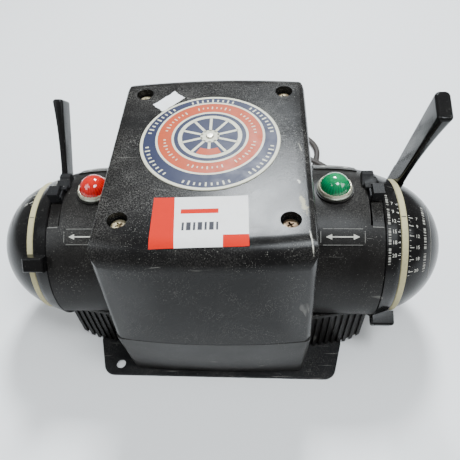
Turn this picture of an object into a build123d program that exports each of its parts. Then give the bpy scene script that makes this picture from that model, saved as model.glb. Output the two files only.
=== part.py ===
"""Twin-throttle train set controller: a mains transformer with two control wings and its lead.

Millimetres. The origin is the centre of the base plate's underside, straight below both shafts.
+X points to the right-hand wing, +Y to the back, where the terminals and the lead are, and +Z up.
Angles round the shafts run from 0, straight to the front, over 90, straight up, to the back.
"""
import os
from math import cos, radians, sin, tan

from build123d import *

# ---------------------------------------------------------------- driving dimensions
shaft_z = 58.5              # height of both control shafts
wall = 3.0                  # moulded shell thickness
run_gap = 0.05              # radial clearance of every running fit
air = 0.3                   # air gap between pieces that pass each other

# base plate
plate_t = 1.6
plate_front = -68.0
plate_back = 70.5
plate_half_x = 76.8         # at the mounting corners
waist_half_x = 84.0         # under the wings
waist_half_y = 42.0
plate_corner_r = 8.0
mount_hole_r = 3.25
mount_hole_x = 67.3
mount_hole_y = 60.1

# middle casing: the lower block and the tall cover
seam_z = 56.1
seam_gap = 0.4
top_z = 138.1
half_x_foot = 57.0
half_x_seam = 57.4
half_x_top = 54.4
front_foot = -62.8
front_seam = -68.6
front_top = -67.4
back_foot = 66.3
back_seam = 72.3
back_top = 71.1
bow_foot = 1.8
bow = 3.6
casing_corner_r = 4.0
top_corner_r = 18.0         # of the cover's two rear corners, at its top
front_edge_r = 13.0
back_edge_r = 11.4
side_edge_r = 4.0
side_flare = 0.15           # the side's growth down to where its rounding starts
seam_flare = 1.2            # the front and back faces' growth from the top down to the seam
cover_corner_r = 6.5

# long screws that clamp the cover to the base plate
screw_x = 42.0
screw_front_y = -47.2
screw_back_y = 54.2
screw_r = 2.1
screw_clear = 0.4
screw_hole_r = screw_r + screw_clear
screw_head_r = 4.4
screw_head_h = 3.2
screw_recess = 3.8
screw_recess_w = 1.0
screw_seat_z = 131.0
counterbore_r = screw_head_r + 0.7
boss_r = 6.2
seat_boss_r = 7.4
pillar_web_t = 2.4
nut_flats = 8.0
nut_h = 3.2

# wings
wing_root_x = 50.0          # inside the middle casing's wall, before trimming
wing_end_x = 97.4
ledge_z = 42.5
ledge_t = 3.0
ledge_bead_r = 1.4
foot_step = 2.0             # the housing stands back by this just above the ledge
foot_h = 3.4
tub_end_x = 96.8
tub_y_root = 45.7           # half depth of the ribbed tub at the middle casing
tub_y_end = 38.7
tub_foot_x = 86.0
tub_bend_z = 21.0           # where the tub's end starts to curl under
tub_inset = 1.8
rib_w = 2.0
rib_pitch = 4.15
rib_count = 9
end_rib_count = 17
rib_first_x = 61.2
shaft_window_r = 40.0
end_boss_r = 11.0
end_boss_x = 80.0

# reversing key and its slot
key_x = 90.3
key_slot_w = 1.7
key_plate_t = 0.9
key_slot_from = 65.0
key_slot_to = 116.0
key_band_r = 45.0
key_hub_r = 15.0
key_top_r = 54.0

# jewel lamps
lamp_x = 70.5
lamp_y = 1.6
lamp_pad_r = 10.9
lamp_pad_z = 109.0
lens_r = 8.7
lens_neck_r = lens_r - 1.1
lamp_hole_r = lens_neck_r + air
bezel_r = lens_r + 1.45
lens_top_z = 118.4

# control shafts, from the middle outwards
shaft_r = 4.0
tube_r = 6.0
sleeve_r = 8.0
bracket_x = 60.0
bracket_t = 2.5

# dial ring, index ring and dome
dial_x0 = 97.7
dial_x1 = 107.2
dial_r0 = 46.1
dial_r1 = 42.9
index_x0 = 107.5
index_x1 = 111.2
index_r = 42.15
dome_x0 = 111.5
dome_centre_x = 96.4
dome_r = 43.6
tab_r = 52.0
tab_w = 9.0
tab_x1 = 110.4

# throttle blade: it stands off the shaft, so it leaves the dome almost along its rim
blade_x = 111.6
blade_offset = 37.0
blade_reach = 99.9
blade_tilt = 19.4           # of the blade's line, forwards of vertical, at the built angle
blade_root_s = 27.0         # where the straight root ends and the taper begins
blade_root_w = 12.7
blade_root_t = 4.5
blade_tip_w = 16.9
blade_tip_t = 8.0

# transformer
core_half_x = 30.0
core_half_y = 56.0
core_h = 112.0
core_yoke = 16.0
core_leg_half = 16.0
core_outer_leg = 16.0
coil_half_x = 46.0
track_t = 1.5
track_r0 = 24.0
track_r1 = 33.0
roller_r = 3.0
roller_len = 4.4
roller_track_r = 28.5
pin_r = 0.9

# rest positions of the controls
left_throttle_turn = 62.6   # from the right-hand lever's place
left_tab = 38.0
right_tab = -25.0

# mains lead
cord_r = 2.5
cord_z = 2.6
relief_x = 40.0
relief_z = 12.0
relief_tip_y = 90.0
coil_x = -8.0
coil_y = 150.0
coil_turn_r = 28.5
coil_turns_wide = 4
coil_layers = 2

os.makedirs("parts", exist_ok=True)
shaft_axis = Axis((0, 0, shaft_z), (1, 0, 0))
back_turn_axis = Axis((0, 0, shaft_z), (-1, 0, 0))
plate_top = Plane.XY.offset(plate_t)
core_top_z = plate_t + core_h


def write(shape, label):
    """Label a finished piece and write it to its own file."""
    shape.label = label
    export_step(shape, f"parts/{label}.step")


def write_mirrored(shape, name, left_turn=0.0, right_turn=0.0):
    """Write a right-hand piece and its left-hand mirror, each turned back about the shaft."""
    write(shape.rotate(back_turn_axis, right_turn), f"right_{name}")
    write(mirror(shape.rotate(back_turn_axis, left_turn), about=Plane.YZ), f"left_{name}")


def across(x):
    """Plane square to the shaft at x, where polar angles are the controls' angles."""
    return Plane(origin=(x, 0, shaft_z), x_dir=(0, -1, 0), z_dir=(-1, 0, 0))


def along_shaft():
    """Plane through the shaft: local x along the shaft, local y the radius."""
    return Plane(origin=(0, 0, shaft_z), x_dir=(1, 0, 0), z_dir=(0, -1, 0))


def upright_at(x, y):
    """Plane through an upright axis at x, y: local x is the radius, local y the height."""
    return Plane(origin=(x, y, 0), x_dir=(1, 0, 0), z_dir=(0, -1, 0))


def bowed_outline(half_x, front, back, swell, corner, rear_corner):
    """Face of a rounded rectangle whose front and back edges swell outwards."""
    with BuildSketch() as outline:
        with BuildLine():
            ThreePointArc((-half_x, front), (0, front - swell), (half_x, front))
            Line((half_x, front), (half_x, back))
            ThreePointArc((half_x, back), (0, back + swell), (-half_x, back))
            Line((-half_x, back), (-half_x, front))
        make_face()
        fillet(vertices().group_by(Axis.Y)[0], corner)
        fillet(vertices().sort_by(Axis.Y)[-2:], rear_corner)
    return outline.sketch


def sector(r0, r1, a0, a1):
    """Face of a ring between two radii and two angles, in the sketch's plane."""
    with BuildSketch() as outline:
        with BuildLine():
            CenterArc((0, 0), r1, a0, a1 - a0)
            CenterArc((0, 0), r0, a0, a1 - a0)
            for a in (a0, a1):
                c, s = cos(radians(a)), sin(radians(a))
                Line((r0 * c, r0 * s), (r1 * c, r1 * s))
        make_face()
    return outline.sketch


def ring(x0, x1, bore, outer):
    """Cylinder about the shaft axis between x0 and x1, with a bore if bore isn't zero."""
    with BuildPart() as body:
        with BuildSketch(across(x0)):
            Circle(outer)
            if bore:
                Circle(bore, mode=Mode.SUBTRACT)
        extrude(amount=x0 - x1)
    return body.part


def casing_solid(inset, bottom, top):
    """Middle casing's lower block between two heights, shrunk by inset on every side."""
    with BuildPart() as block:
        for z in (bottom, top):
            f = (z - plate_t) / (seam_z - plate_t)
            with BuildSketch(Plane.XY.offset(z)):
                add(
                    bowed_outline(
                        half_x_foot + (half_x_seam - half_x_foot) * f - inset,
                        front_foot + (front_seam - front_foot) * f + inset,
                        back_foot + (back_seam - back_foot) * f - inset,
                        bow_foot + (bow - bow_foot) * f,
                        casing_corner_r - inset * 0.5,
                        casing_corner_r - inset * 0.5,
                    )
                )
        loft()
    return block.part


def bow_radius(half_x, swell):
    """Radius of an arc across 2 * half_x that swells by swell."""
    return (half_x**2 + swell**2) / (2 * swell)


def rounded_slab(reach, edge_y, edge_r, inset, facing):
    """Solid of revolution whose rim is a bowed face with a rounded top edge.

    reach is the bow's radius, edge_y the face's foremost place at the top, edge_r the
    rounding and facing -1 for the front or 1 for the back.
    """
    centre_y = edge_y - facing * reach
    rim = reach - inset
    top, r = top_z - inset, edge_r - inset
    with BuildPart() as slab:
        with BuildSketch(upright_at(0, centre_y)):
            with BuildLine():
                Line((0, seam_z - 1), (rim + seam_flare, seam_z - 1))
                Line((rim + seam_flare, seam_z - 1), (rim, top - r))
                RadiusArc((rim, top - r), (rim - r, top), -r)
                Line((rim - r, top), (0, top))
                Line((0, top), (0, seam_z - 1))
            make_face()
        revolve(axis=Axis((0, centre_y, 0), (0, 0, 1)))
    return slab.part


def cover_solid(inset, bottom):
    """Tall cover's outer or inner form, shrunk by inset, with its top edges rounded."""
    with BuildPart() as block:
        for z in (bottom, top_z - inset):
            f = (z - seam_z) / (top_z - seam_z)
            with BuildSketch(Plane.XY.offset(z)):
                add(
                    bowed_outline(
                        half_x_seam + (half_x_top - half_x_seam) * f - inset,
                        front_seam + (front_top - front_seam) * f + inset,
                        back_seam + (back_top - back_seam) * f - inset,
                        bow,
                        cover_corner_r - inset * 0.5,
                        casing_corner_r + (top_corner_r - casing_corner_r) * f - inset * 0.5,
                    )
                )
        loft()
    reach = bow_radius(half_x_top, bow)
    front = rounded_slab(reach, front_top - bow, front_edge_r, inset, -1)
    back = rounded_slab(reach, back_top + bow, back_edge_r, inset, 1)
    with BuildPart() as sides:
        with BuildSketch(Plane.XZ):
            with BuildLine():
                r, x1, x0 = side_edge_r, half_x_top - inset, half_x_seam - inset + 1
                edge = [(x0, bottom - 1), (x1 + side_flare, top_z - inset - r)]
                Line(edge[0], edge[1])
                ThreePointArc(
                    edge[1],
                    (x1 + side_flare - r * (1 - cos(radians(45))), top_z - inset - r * (1 - sin(radians(45)))),
                    (x1 + side_flare - r, top_z - inset),
                )
                Line((x1 + side_flare - r, top_z - inset), (0, top_z - inset))
                Line((0, top_z - inset), (0, bottom - 1))
                Line((0, bottom - 1), edge[0])
            make_face()
            mirror(about=Plane.YZ)
        extrude(amount=back_seam + bow + 10, both=True)
    return block.part & front & back & sides.part


# ---------------------------------------------------------------- base plate
with BuildPart() as base_plate:
    with BuildSketch():
        with BuildLine():
            right = [
                (plate_half_x, plate_front),
                (waist_half_x, -waist_half_y),
                (waist_half_x, waist_half_y),
                (plate_half_x, plate_back),
            ]
            Polyline(*right, *[(-x, y) for x, y in reversed(right)], close=True)
        make_face()
        fillet(vertices(), plate_corner_r)
        with Locations((-mount_hole_x, -mount_hole_y), (mount_hole_x, mount_hole_y)):
            Circle(mount_hole_r, mode=Mode.SUBTRACT)
    extrude(amount=plate_t)
    fillet(base_plate.faces().sort_by(Axis.Z)[-1].outer_wire().edges(), 0.6)
write(base_plate.part, "base_plate")

# ---------------------------------------------------------------- lower casing
screw_places = [(sx * screw_x, y) for sx in (-1, 1) for y in (screw_front_y, screw_back_y)]


def tub_half_y(x, inset):
    """Half depth of the ribbed tub at x."""
    f = (x - half_x_seam) / (tub_end_x - half_x_seam)
    return tub_y_root + (tub_y_end - tub_y_root) * f - inset


def tub_outline(inset):
    """Plan outline of one tub, shrunk by inset, from inside the middle casing outwards."""
    with BuildSketch() as outline:
        end = tub_end_x - inset
        with BuildLine():
            Polyline(
                (wing_root_x, -tub_half_y(wing_root_x, inset)),
                (end, -tub_half_y(end, inset)),
                (end, tub_half_y(end, inset)),
                (wing_root_x, tub_half_y(wing_root_x, inset)),
                close=True,
            )
        make_face()
    return outline.sketch


def tub_side(inset, top):
    """Side view of one tub: upright end that curls under to the base plate."""
    with BuildSketch() as outline:
        end, foot = tub_end_x - inset, plate_t + inset
        with BuildLine():
            Line((wing_root_x, foot), (tub_foot_x - inset, foot))
            bend = (94.2 - inset * 0.9, 8.2 + inset * 0.5)
            ThreePointArc((tub_foot_x - inset, foot), bend, (end, tub_bend_z))
            Line((end, tub_bend_z), (end, top))
            Line((end, top), (wing_root_x, top))
            Line((wing_root_x, top), (wing_root_x, foot))
        make_face()
    return outline.sketch


with BuildPart() as tub:
    with BuildSketch(plate_top):
        add(tub_outline(tub_inset))
    extrude(amount=ledge_z - plate_t)
    with BuildSketch(Plane.XY.offset(ledge_z - ledge_t)):
        add(tub_outline(0))
    extrude(amount=ledge_t)
    fillet(tub.faces().sort_by(Axis.Z)[-1].edges().sort_by(Axis.X)[1:], ledge_bead_r)
    with BuildSketch(plate_top):
        for i in range(rib_count):
            x = rib_first_x + i * rib_pitch
            with Locations((x, 0)):
                Rectangle(rib_w, 2 * tub_half_y(x + rib_w / 2, 0))
        with GridLocations(0, rib_pitch, 1, end_rib_count):
            with Locations((tub_end_x - 10, 0)):
                Rectangle(20, rib_w)
    extrude(amount=ledge_z - plate_t)
    with BuildSketch(Plane.XZ):
        add(tub_side(0, ledge_z))
    extrude(amount=tub_y_root + 5, both=True, mode=Mode.INTERSECT)

with BuildPart() as tub_hollow:
    with BuildSketch(plate_top):
        add(tub_outline(tub_inset + wall))
    extrude(amount=ledge_z - ledge_t - plate_t)
    with BuildSketch(Plane.XY.offset(ledge_z - ledge_t - 1)):
        Rectangle(2 * (tub_end_x - 3.6), 73)
    extrude(amount=ledge_t + 2)
    with BuildSketch(Plane.XZ):
        add(tub_side(wall, ledge_z + 2))
    extrude(amount=tub_y_root, both=True, mode=Mode.INTERSECT)

terminal_z = 29.0
terminal_pitch = 12.0
terminal_count = 8
board_y = 62.3
board_t = 3.0
board_half_x = 53.6

casing_outer = casing_solid(0, plate_t, seam_z - seam_gap)
casing_inner = casing_solid(wall, plate_t, seam_z)
with BuildPart() as lower_casing:
    add(tub.part)
    add(mirror(tub.part, about=Plane.YZ))
    add(casing_outer)
    add(casing_inner, mode=Mode.SUBTRACT)
    add(tub_hollow.part, mode=Mode.SUBTRACT)
    add(mirror(tub_hollow.part, about=Plane.YZ), mode=Mode.SUBTRACT)
    with BuildSketch(across(-half_x_seam - 1)):
        Circle(shaft_window_r)
    extrude(amount=-2 * (half_x_seam + 1), mode=Mode.SUBTRACT)
    # the window that the terminals stand in, and the lead's hole
    with BuildSketch(Plane.XZ.offset(-board_y)):
        with Locations((0, terminal_z)):
            Rectangle(2 * 49, 18)
        with Locations((relief_x, relief_z)):
            Circle(5.0)
    extrude(amount=-20, mode=Mode.SUBTRACT)
    # screw pillars, each tied to its side wall
    with BuildSketch(plate_top):
        with Locations(*screw_places):
            Circle(boss_r)
        for x, y in screw_places:
            with Locations((x * (screw_x + 7.5) / screw_x, y)):
                Rectangle(13, pillar_web_t)
    extrude(amount=seam_z - plate_t)
    with BuildSketch(plate_top):
        with Locations(*screw_places):
            Circle(screw_hole_r)
    extrude(amount=seam_z, mode=Mode.SUBTRACT)
    with BuildSketch(plate_top):
        with Locations(*screw_places):
            Circle(nut_flats / 2 / cos(radians(30)) + air)
    extrude(amount=nut_h + air, mode=Mode.SUBTRACT)
write(lower_casing.part, "lower_casing")

# ---------------------------------------------------------------- top cover
cover_outer = cover_solid(0, seam_z)
cover_inner = cover_solid(wall, seam_z)
with BuildPart() as top_cover:
    add(cover_outer)
    add(cover_inner, mode=Mode.SUBTRACT)
    with BuildSketch(across(-half_x_seam - 1)):
        Circle(shaft_window_r)
    extrude(amount=-2 * (half_x_seam + 1), mode=Mode.SUBTRACT)
    with BuildSketch(Plane.XY.offset(seam_z)):
        with Locations(*screw_places):
            Circle(boss_r)
    extrude(amount=top_z - wall - seam_z)
    with BuildSketch(Plane.XY.offset(screw_seat_z - wall)):
        with Locations(*screw_places):
            Circle(seat_boss_r)
    extrude(amount=top_z - wall - screw_seat_z + wall)
    with BuildSketch(Plane.XY.offset(seam_z)):
        with Locations(*screw_places):
            Circle(screw_hole_r)
    extrude(amount=top_z, mode=Mode.SUBTRACT)
    with BuildSketch(Plane.XY.offset(screw_seat_z)):
        with Locations(*screw_places):
            Circle(counterbore_r)
    extrude(amount=top_z, mode=Mode.SUBTRACT)
write(top_cover.part, "top_cover")

# ---------------------------------------------------------------- wing housings
# (x, centre y, centre height above the shaft, radius) of the housing's round sections
wing_sections = [
    (wing_root_x, 1.8, 1.9, 47.9),
    (72.0, 1.8, 1.9, 47.9),
    (86.0, 1.1, 1.2, 47.4),
    (wing_end_x, 0, 0, 46.2),
]
pad_raise = 0.7


def wing_loft(grow, end_x):
    """Housing's round form with its radius changed by grow, ending at end_x."""
    with BuildPart() as body:
        for x, cy, cz, r in wing_sections:
            with BuildSketch(across(min(x, end_x))):
                with Locations((-cy, cz)):
                    Circle(r + grow)
        loft()
    return body.part


wing_outer = wing_loft(0, wing_end_x)
wing_raised = wing_loft(pad_raise, wing_end_x)
wing_inner = wing_loft(-wall, wing_end_x - wall)
with BuildPart() as word_pad:
    with BuildSketch(across(60.6)):
        add(sector(40, 60, 51, 63))
        add(sector(40, 60, 117, 129))
    extrude(amount=-26)
    add(wing_raised, mode=Mode.INTERSECT)

with BuildPart() as foot_band:
    with BuildSketch(Plane.XY.offset(ledge_z)):
        with Locations((75, 0)):
            Rectangle(60, 120)
    extrude(amount=foot_h)
    add(wing_loft(-foot_step, wing_end_x), mode=Mode.SUBTRACT)

with BuildPart() as wing_housing:
    add(wing_outer)
    add(word_pad.part)
    add(foot_band.part, mode=Mode.SUBTRACT)
    with BuildSketch(Plane.XY.offset(lamp_pad_z - 12)):
        with Locations((lamp_x, lamp_y)):
            Circle(lamp_pad_r)
    extrude(amount=12)
    add(wing_inner, mode=Mode.SUBTRACT)
    add(ring(end_boss_x, wing_end_x - wall, 0, end_boss_r))
    add(ring(end_boss_x, wing_end_x, 0, sleeve_r + run_gap), mode=Mode.SUBTRACT)
    # stepped band beside the key slot, and the slot itself
    with BuildSketch(across(key_x + 0.2)):
        add(sector(key_band_r, 60, key_slot_from - 0.5, 180 - key_slot_from + 0.5))
    extrude(amount=key_x + 0.2 - wing_end_x, mode=Mode.SUBTRACT)
    with BuildSketch(across(key_x - key_slot_w / 2)):
        add(sector(35, 60, key_slot_from, key_slot_to))
    extrude(amount=-key_slot_w, mode=Mode.SUBTRACT)
    with BuildSketch(Plane.XY.offset(lamp_pad_z - 30)):
        with Locations((lamp_x, lamp_y)):
            Circle(lamp_hole_r)
    extrude(amount=30, mode=Mode.SUBTRACT)
    # nothing below the ledge, nothing inside the middle casing
    with BuildSketch(Plane.XY.offset(ledge_z)):
        with Locations((75, 0)):
            Rectangle(60, 120)
    extrude(amount=-50, mode=Mode.SUBTRACT)
    add(cover_outer, mode=Mode.SUBTRACT)
    add(casing_solid(0, plate_t, seam_z), mode=Mode.SUBTRACT)
write_mirrored(wing_housing.part, "wing_housing")

# ---------------------------------------------------------------- shaft brackets and shafts
with BuildPart() as shaft_bracket:
    with BuildSketch(across(bracket_x)):
        Circle(36)
        with Locations((0, (plate_t + wall - shaft_z) / 2)):
            Rectangle(56, shaft_z - plate_t - wall)
    extrude(amount=-bracket_t)
    add(ring(bracket_x, index_x1 - 0.8, 0, tube_r))
    add(ring(bracket_x, index_x1, 0, shaft_r + run_gap), mode=Mode.SUBTRACT)
write_mirrored(shaft_bracket.part, "shaft_bracket")

shaft_x0 = coil_half_x + track_t + 2.0
dome_tip_x = dome_centre_x + dome_r
with BuildPart() as throttle_shaft:
    add(ring(shaft_x0, dome_tip_x - 4, 0, shaft_r))
    chamfer(throttle_shaft.edges().filter_by(GeomType.CIRCLE), 0.5)
write_mirrored(throttle_shaft.part, "throttle_shaft")

dial_track_x = bracket_x + bracket_t + track_t
sleeve_x0 = dial_track_x + 2.0
dial_sleeve = ring(sleeve_x0, dial_x1 - 1.4, tube_r + run_gap, sleeve_r)
write_mirrored(dial_sleeve, "dial_sleeve")

# ---------------------------------------------------------------- contact tracks
throttle_low, throttle_high = 76.0, 156.0
dial_low, dial_high = -152.0, -48.0
track_overrun = 8.0
with BuildPart() as contact_tracks:
    with BuildSketch(across(coil_half_x)):
        add(sector(track_r0, track_r1, throttle_low - track_overrun, throttle_high + track_overrun))
    extrude(amount=-track_t)
    with BuildSketch(across(dial_track_x - track_t)):
        add(sector(track_r0, track_r1, dial_low - track_overrun, dial_high + track_overrun))
    extrude(amount=-track_t)
write_mirrored(contact_tracks.part, "contact_tracks")

# ---------------------------------------------------------------- roller arms
ear_t = 1.4


def roller_arm(track_x, bore, angle):
    """Arm that carries a roller over the track at track_x, pointing at angle."""
    roller_x = track_x + air + roller_r
    plate_x = roller_x + roller_r + air
    half = roller_len / 2 + air
    with BuildPart() as arm:
        with BuildSketch(across(plate_x)):
            Circle(bore + 3.5)
            with Locations((roller_track_r / 2, 0)):
                Rectangle(roller_track_r, 7)
            with Locations((roller_track_r, 0)):
                Rectangle(2 * (half + ear_t), 7)
        extrude(amount=-2.0)
        with BuildSketch(across(roller_x - 1.6)):
            for r in (roller_track_r - half - ear_t / 2, roller_track_r + half + ear_t / 2):
                with Locations((r, 0)):
                    Rectangle(ear_t, 5)
        extrude(amount=roller_x - 1.6 - plate_x)
        add(ring(plate_x - 2.5, plate_x + 4, 0, bore + 2.5))
        add(ring(plate_x - 3, plate_x + 5, 0, bore), mode=Mode.SUBTRACT)
        with BuildSketch(Plane(origin=(roller_x, -(roller_track_r - half - ear_t), shaft_z), z_dir=(0, -1, 0))):
            Circle(pin_r)
        extrude(amount=2 * (half + ear_t))
    return arm.part.rotate(back_turn_axis, angle)


def roller(track_x, angle):
    """Carbon roller on its pin, its axis along the arm."""
    roller_x = track_x + air + roller_r
    near = roller_track_r - roller_len / 2
    with BuildPart() as body:
        with BuildSketch(Plane(origin=(roller_x, -near, shaft_z), z_dir=(0, -1, 0))):
            Circle(roller_r)
            Circle(pin_r + run_gap, mode=Mode.SUBTRACT)
        extrude(amount=roller_len)
        chamfer(body.edges().filter_by(GeomType.CIRCLE).group_by(SortBy.RADIUS)[-1], 0.4)
    return body.part.rotate(back_turn_axis, angle)


throttle_track_x = coil_half_x + track_t
throttle_turns = dict(left_turn=left_throttle_turn, right_turn=0.0)
dial_turns = dict(left_turn=left_tab, right_turn=right_tab)
write_mirrored(roller_arm(throttle_track_x, shaft_r, 90), "throttle_arm", **throttle_turns)
write_mirrored(roller(throttle_track_x, 90), "throttle_roller", **throttle_turns)
write_mirrored(roller_arm(dial_track_x, sleeve_r, -90), "dial_arm", **dial_turns)
write_mirrored(roller(dial_track_x, -90), "dial_roller", **dial_turns)

# ---------------------------------------------------------------- dial ring with its tab
with BuildPart() as dial_ring:
    with BuildSketch(along_shaft()):
        with BuildLine():
            Polyline(
                (dial_x0, sleeve_r),
                (dial_x0, dial_r0 - 0.6),
                (dial_x0 + 0.6, dial_r0),
                (dial_x1 - 0.4, dial_r1),
                (dial_x1, dial_r1 - 0.4),
                (dial_x1, dial_r1 - wall),
                (dial_x0 + wall, dial_r0 - wall - 0.6),
                (dial_x0 + wall, sleeve_r + 3),
                (dial_x1 - 2, sleeve_r + 3),
                (dial_x1 - 2, sleeve_r),
                close=True,
            )
        make_face()
    revolve(axis=shaft_axis)
    with BuildSketch(across(dial_x0)):
        with Locations(((index_r + 0.7 + tab_r) / 2, 0)):
            Rectangle(tab_r - index_r - 0.7, tab_w)
    extrude(amount=dial_x0 - tab_x1)
    tab_edges = dial_ring.edges().filter_by_position(Axis.Y, -tab_r - 1, -tab_r + 0.1)
    fillet(tab_edges, 1.6)
write_mirrored(dial_ring.part, "dial_ring", **dial_turns)

# ---------------------------------------------------------------- index ring
with BuildPart() as index_ring:
    with BuildSketch(along_shaft()):
        with BuildLine():
            Polyline(
                (index_x0 + 0.9, tube_r),
                (index_x0 + 0.9, index_r - wall),
                (index_x0, index_r - wall),
                (index_x0, index_r - 0.4),
                (index_x0 + 0.4, index_r),
                (index_x1 - 0.4, index_r),
                (index_x1, index_r - 0.4),
                (index_x1, index_r - wall),
                (index_x1 - 0.8, index_r - wall),
                (index_x1 - 0.8, tube_r),
                close=True,
            )
        make_face()
    revolve(axis=shaft_axis)
write_mirrored(index_ring.part, "index_ring")

# ---------------------------------------------------------------- throttle lever
tilt = radians(blade_tilt)
blade_dir = Vector(0, -sin(tilt), cos(tilt))
blade_side = Vector(0, cos(tilt), sin(tilt))


def blade_plane(s, x=blade_x):
    """Plane square to the blade at distance s along it: local x is along the shaft."""
    origin = Vector(x, 0, shaft_z) + blade_side * blade_offset + blade_dir * s
    return Plane(origin=origin, x_dir=(1, 0, 0), z_dir=blade_dir)


def lever_plane(x):
    """Plane square to the shaft: local x along the blade's side, local y along the blade."""
    return Plane(origin=(x, 0, shaft_z), x_dir=blade_side, z_dir=(1, 0, 0))


# (distance along the blade, thickness, width, corner radius) of its tapered part
blade_sections = [
    (blade_root_s, blade_root_t, blade_root_w, 0.9),
    (52.0, 4.3, 13.6, 1.2),
    (80.0, 5.6, 15.2, 1.9),
    (blade_reach, blade_tip_t, blade_tip_w, 3.0),
]
with BuildPart() as blade:
    for s, t, w, r in blade_sections:
        with BuildSketch(blade_plane(s)):
            with Locations((t / 2, 0)):
                RectangleRounded(t, w, r)
    loft()
    fillet(blade.faces().sort_by(Axis(origin=(0, 0, 0), direction=blade_dir))[-1].edges(), 1.8)

with BuildPart() as throttle_lever:
    add(blade.part)
    with BuildSketch(lever_plane(blade_x)):
        with BuildLine():
            near, far = blade_offset - blade_root_w / 2, blade_offset + blade_root_w / 2
            Line((near, blade_root_s), (near, 10))
            Line((near, 10), (9, 10))
            Line((9, 10), (9, -8))
            Line((9, -8), (near, -8))
            ThreePointArc((near, -8), (far - 3.2, -0.5), (far, 12))
            Line((far, 12), (far, blade_root_s))
            Line((far, blade_root_s), (near, blade_root_s))
        make_face()
    extrude(amount=blade_root_t)
    add(ring(blade_x + 0.2, 117.6, 0, 12))
    add(ring(blade_x, 118, 0, shaft_r), mode=Mode.SUBTRACT)
write_mirrored(throttle_lever.part, "throttle_lever", **throttle_turns)

dome_wall = 2.6
dome_boss_r = 7.0
dome_boss_x = 118.0
with BuildPart() as throttle_dome:
    with BuildSketch(along_shaft()):
        with Locations((dome_centre_x, 0)):
            Circle(dome_r)
            Circle(dome_r - dome_wall, mode=Mode.SUBTRACT)
        with Locations(((dome_boss_x + dome_tip_x - 1) / 2, 0)):
            Rectangle(dome_tip_x - 1 - dome_boss_x, 2 * dome_boss_r)
        with Locations(((dome_x0 + dome_tip_x + 1) / 2, dome_r / 2)):
            Rectangle(dome_tip_x + 1 - dome_x0, dome_r, mode=Mode.INTERSECT)
    revolve(axis=shaft_axis)
    add(ring(dome_boss_x - 1, dome_tip_x - 4, 0, shaft_r), mode=Mode.SUBTRACT)
    add(throttle_lever.part, mode=Mode.SUBTRACT)
write_mirrored(throttle_dome.part, "throttle_dome", **throttle_turns)

# ---------------------------------------------------------------- reversing key and its spring
key_hub_x0 = 86.6
key_hub_x1 = 92.0
with BuildPart() as direction_key:
    add(ring(key_hub_x0, key_hub_x1, end_boss_r + run_gap, key_hub_r))
    # thin plate from the hub up through the slot
    with BuildSketch(across(key_x - key_plate_t / 2)):
        with Locations((0.5, (key_hub_r + key_top_r - 3) / 2 - 0.5)):
            Rectangle(8, key_top_r - 3 - key_hub_r + 1)
    extrude(amount=-key_plate_t)
    # front lug over the stepped band, rear lug over the housing, and the valley between
    with BuildSketch(across(key_x + 0.9)):
        with BuildLine():
            Polyline((4.6, 46.4), (5.6, key_top_r), (-2.0, key_top_r), (-5.2, 50.0), (-5.6, 47.6), close=True)
        make_face()
    extrude(amount=-6.1)
    with BuildSketch(across(key_hub_x0)):
        with BuildLine():
            Polyline((-4.8, 49.6), (-9.6, key_top_r), (-13.0, key_top_r - 0.6), (-13.6, 48.4), (-9.0, 49.3), close=True)
        make_face()
    extrude(amount=-6.4)
    with BuildSketch(across(key_hub_x0 + 1.4)):
        with BuildLine():
            Polyline((-1.5, 49.4), (-1.5, 51.4), (-5.0, 50.6), (-8.6, 52.0), (-9.6, 49.4), close=True)
        make_face()
    extrude(amount=-6.6)
write_mirrored(direction_key.part, "direction_key")

spring_wire_r = 0.45
spring_coil_r = 12.4
with BuildPart() as key_spring:
    with BuildLine():
        coil_line = Helix(
            pitch=1.3, height=3.9, radius=spring_coil_r, center=(81.6, 0, shaft_z), direction=(1, 0, 0)
        )
    with BuildSketch(Plane(origin=coil_line @ 0, z_dir=coil_line % 0)):
        Circle(spring_wire_r)
    sweep(is_frenet=True)
write_mirrored(key_spring.part, "key_spring")

# ---------------------------------------------------------------- jewel lamps
with BuildPart() as jewel_bezel:
    with BuildSketch(upright_at(lamp_x, lamp_y)):
        with BuildLine():
            Polyline(
                (lens_neck_r + run_gap, lamp_pad_z),
                (bezel_r, lamp_pad_z),
                (bezel_r, lamp_pad_z + 1.2),
                (bezel_r - 0.5, lamp_pad_z + 1.7),
                (bezel_r - 0.5, lamp_pad_z + 2.5),
                (bezel_r - 1.0, lamp_pad_z + 3.0),
                (lens_r + 0.1, lamp_pad_z + 3.0),
                (lens_r + 0.1, lamp_pad_z + 1.2),
                (lens_neck_r + run_gap, lamp_pad_z + 1.2),
                close=True,
            )
        make_face()
    revolve(axis=Axis((lamp_x, lamp_y, 0), (0, 0, 1)))
write_mirrored(jewel_bezel.part, "jewel_bezel")

lens_foot_z = lamp_pad_z - 5
lens_seat_z = lamp_pad_z + 1.2
with BuildPart() as jewel_lens:
    with BuildSketch(upright_at(lamp_x, lamp_y)):
        cap_h = lens_top_z - lens_seat_z
        cap_r = (lens_r**2 + cap_h**2) / (2 * cap_h)
        with Locations((0, lens_top_z - cap_r)):
            Circle(cap_r)
        with Locations(((lens_r + 1) / 2, lens_seat_z + 10)):
            Rectangle(lens_r + 1, 20, mode=Mode.INTERSECT)
        with Locations((lens_neck_r / 2, (lens_foot_z + lens_seat_z) / 2)):
            Rectangle(lens_neck_r, lens_seat_z - lens_foot_z)
        with Locations((2.8, (lens_foot_z + lens_seat_z) / 2)):
            Rectangle(5.6, lens_seat_z - lens_foot_z + 1, mode=Mode.SUBTRACT)
    revolve(axis=Axis((lamp_x, lamp_y, 0), (0, 0, 1)))
write_mirrored(jewel_lens.part, "jewel_lens")

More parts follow.
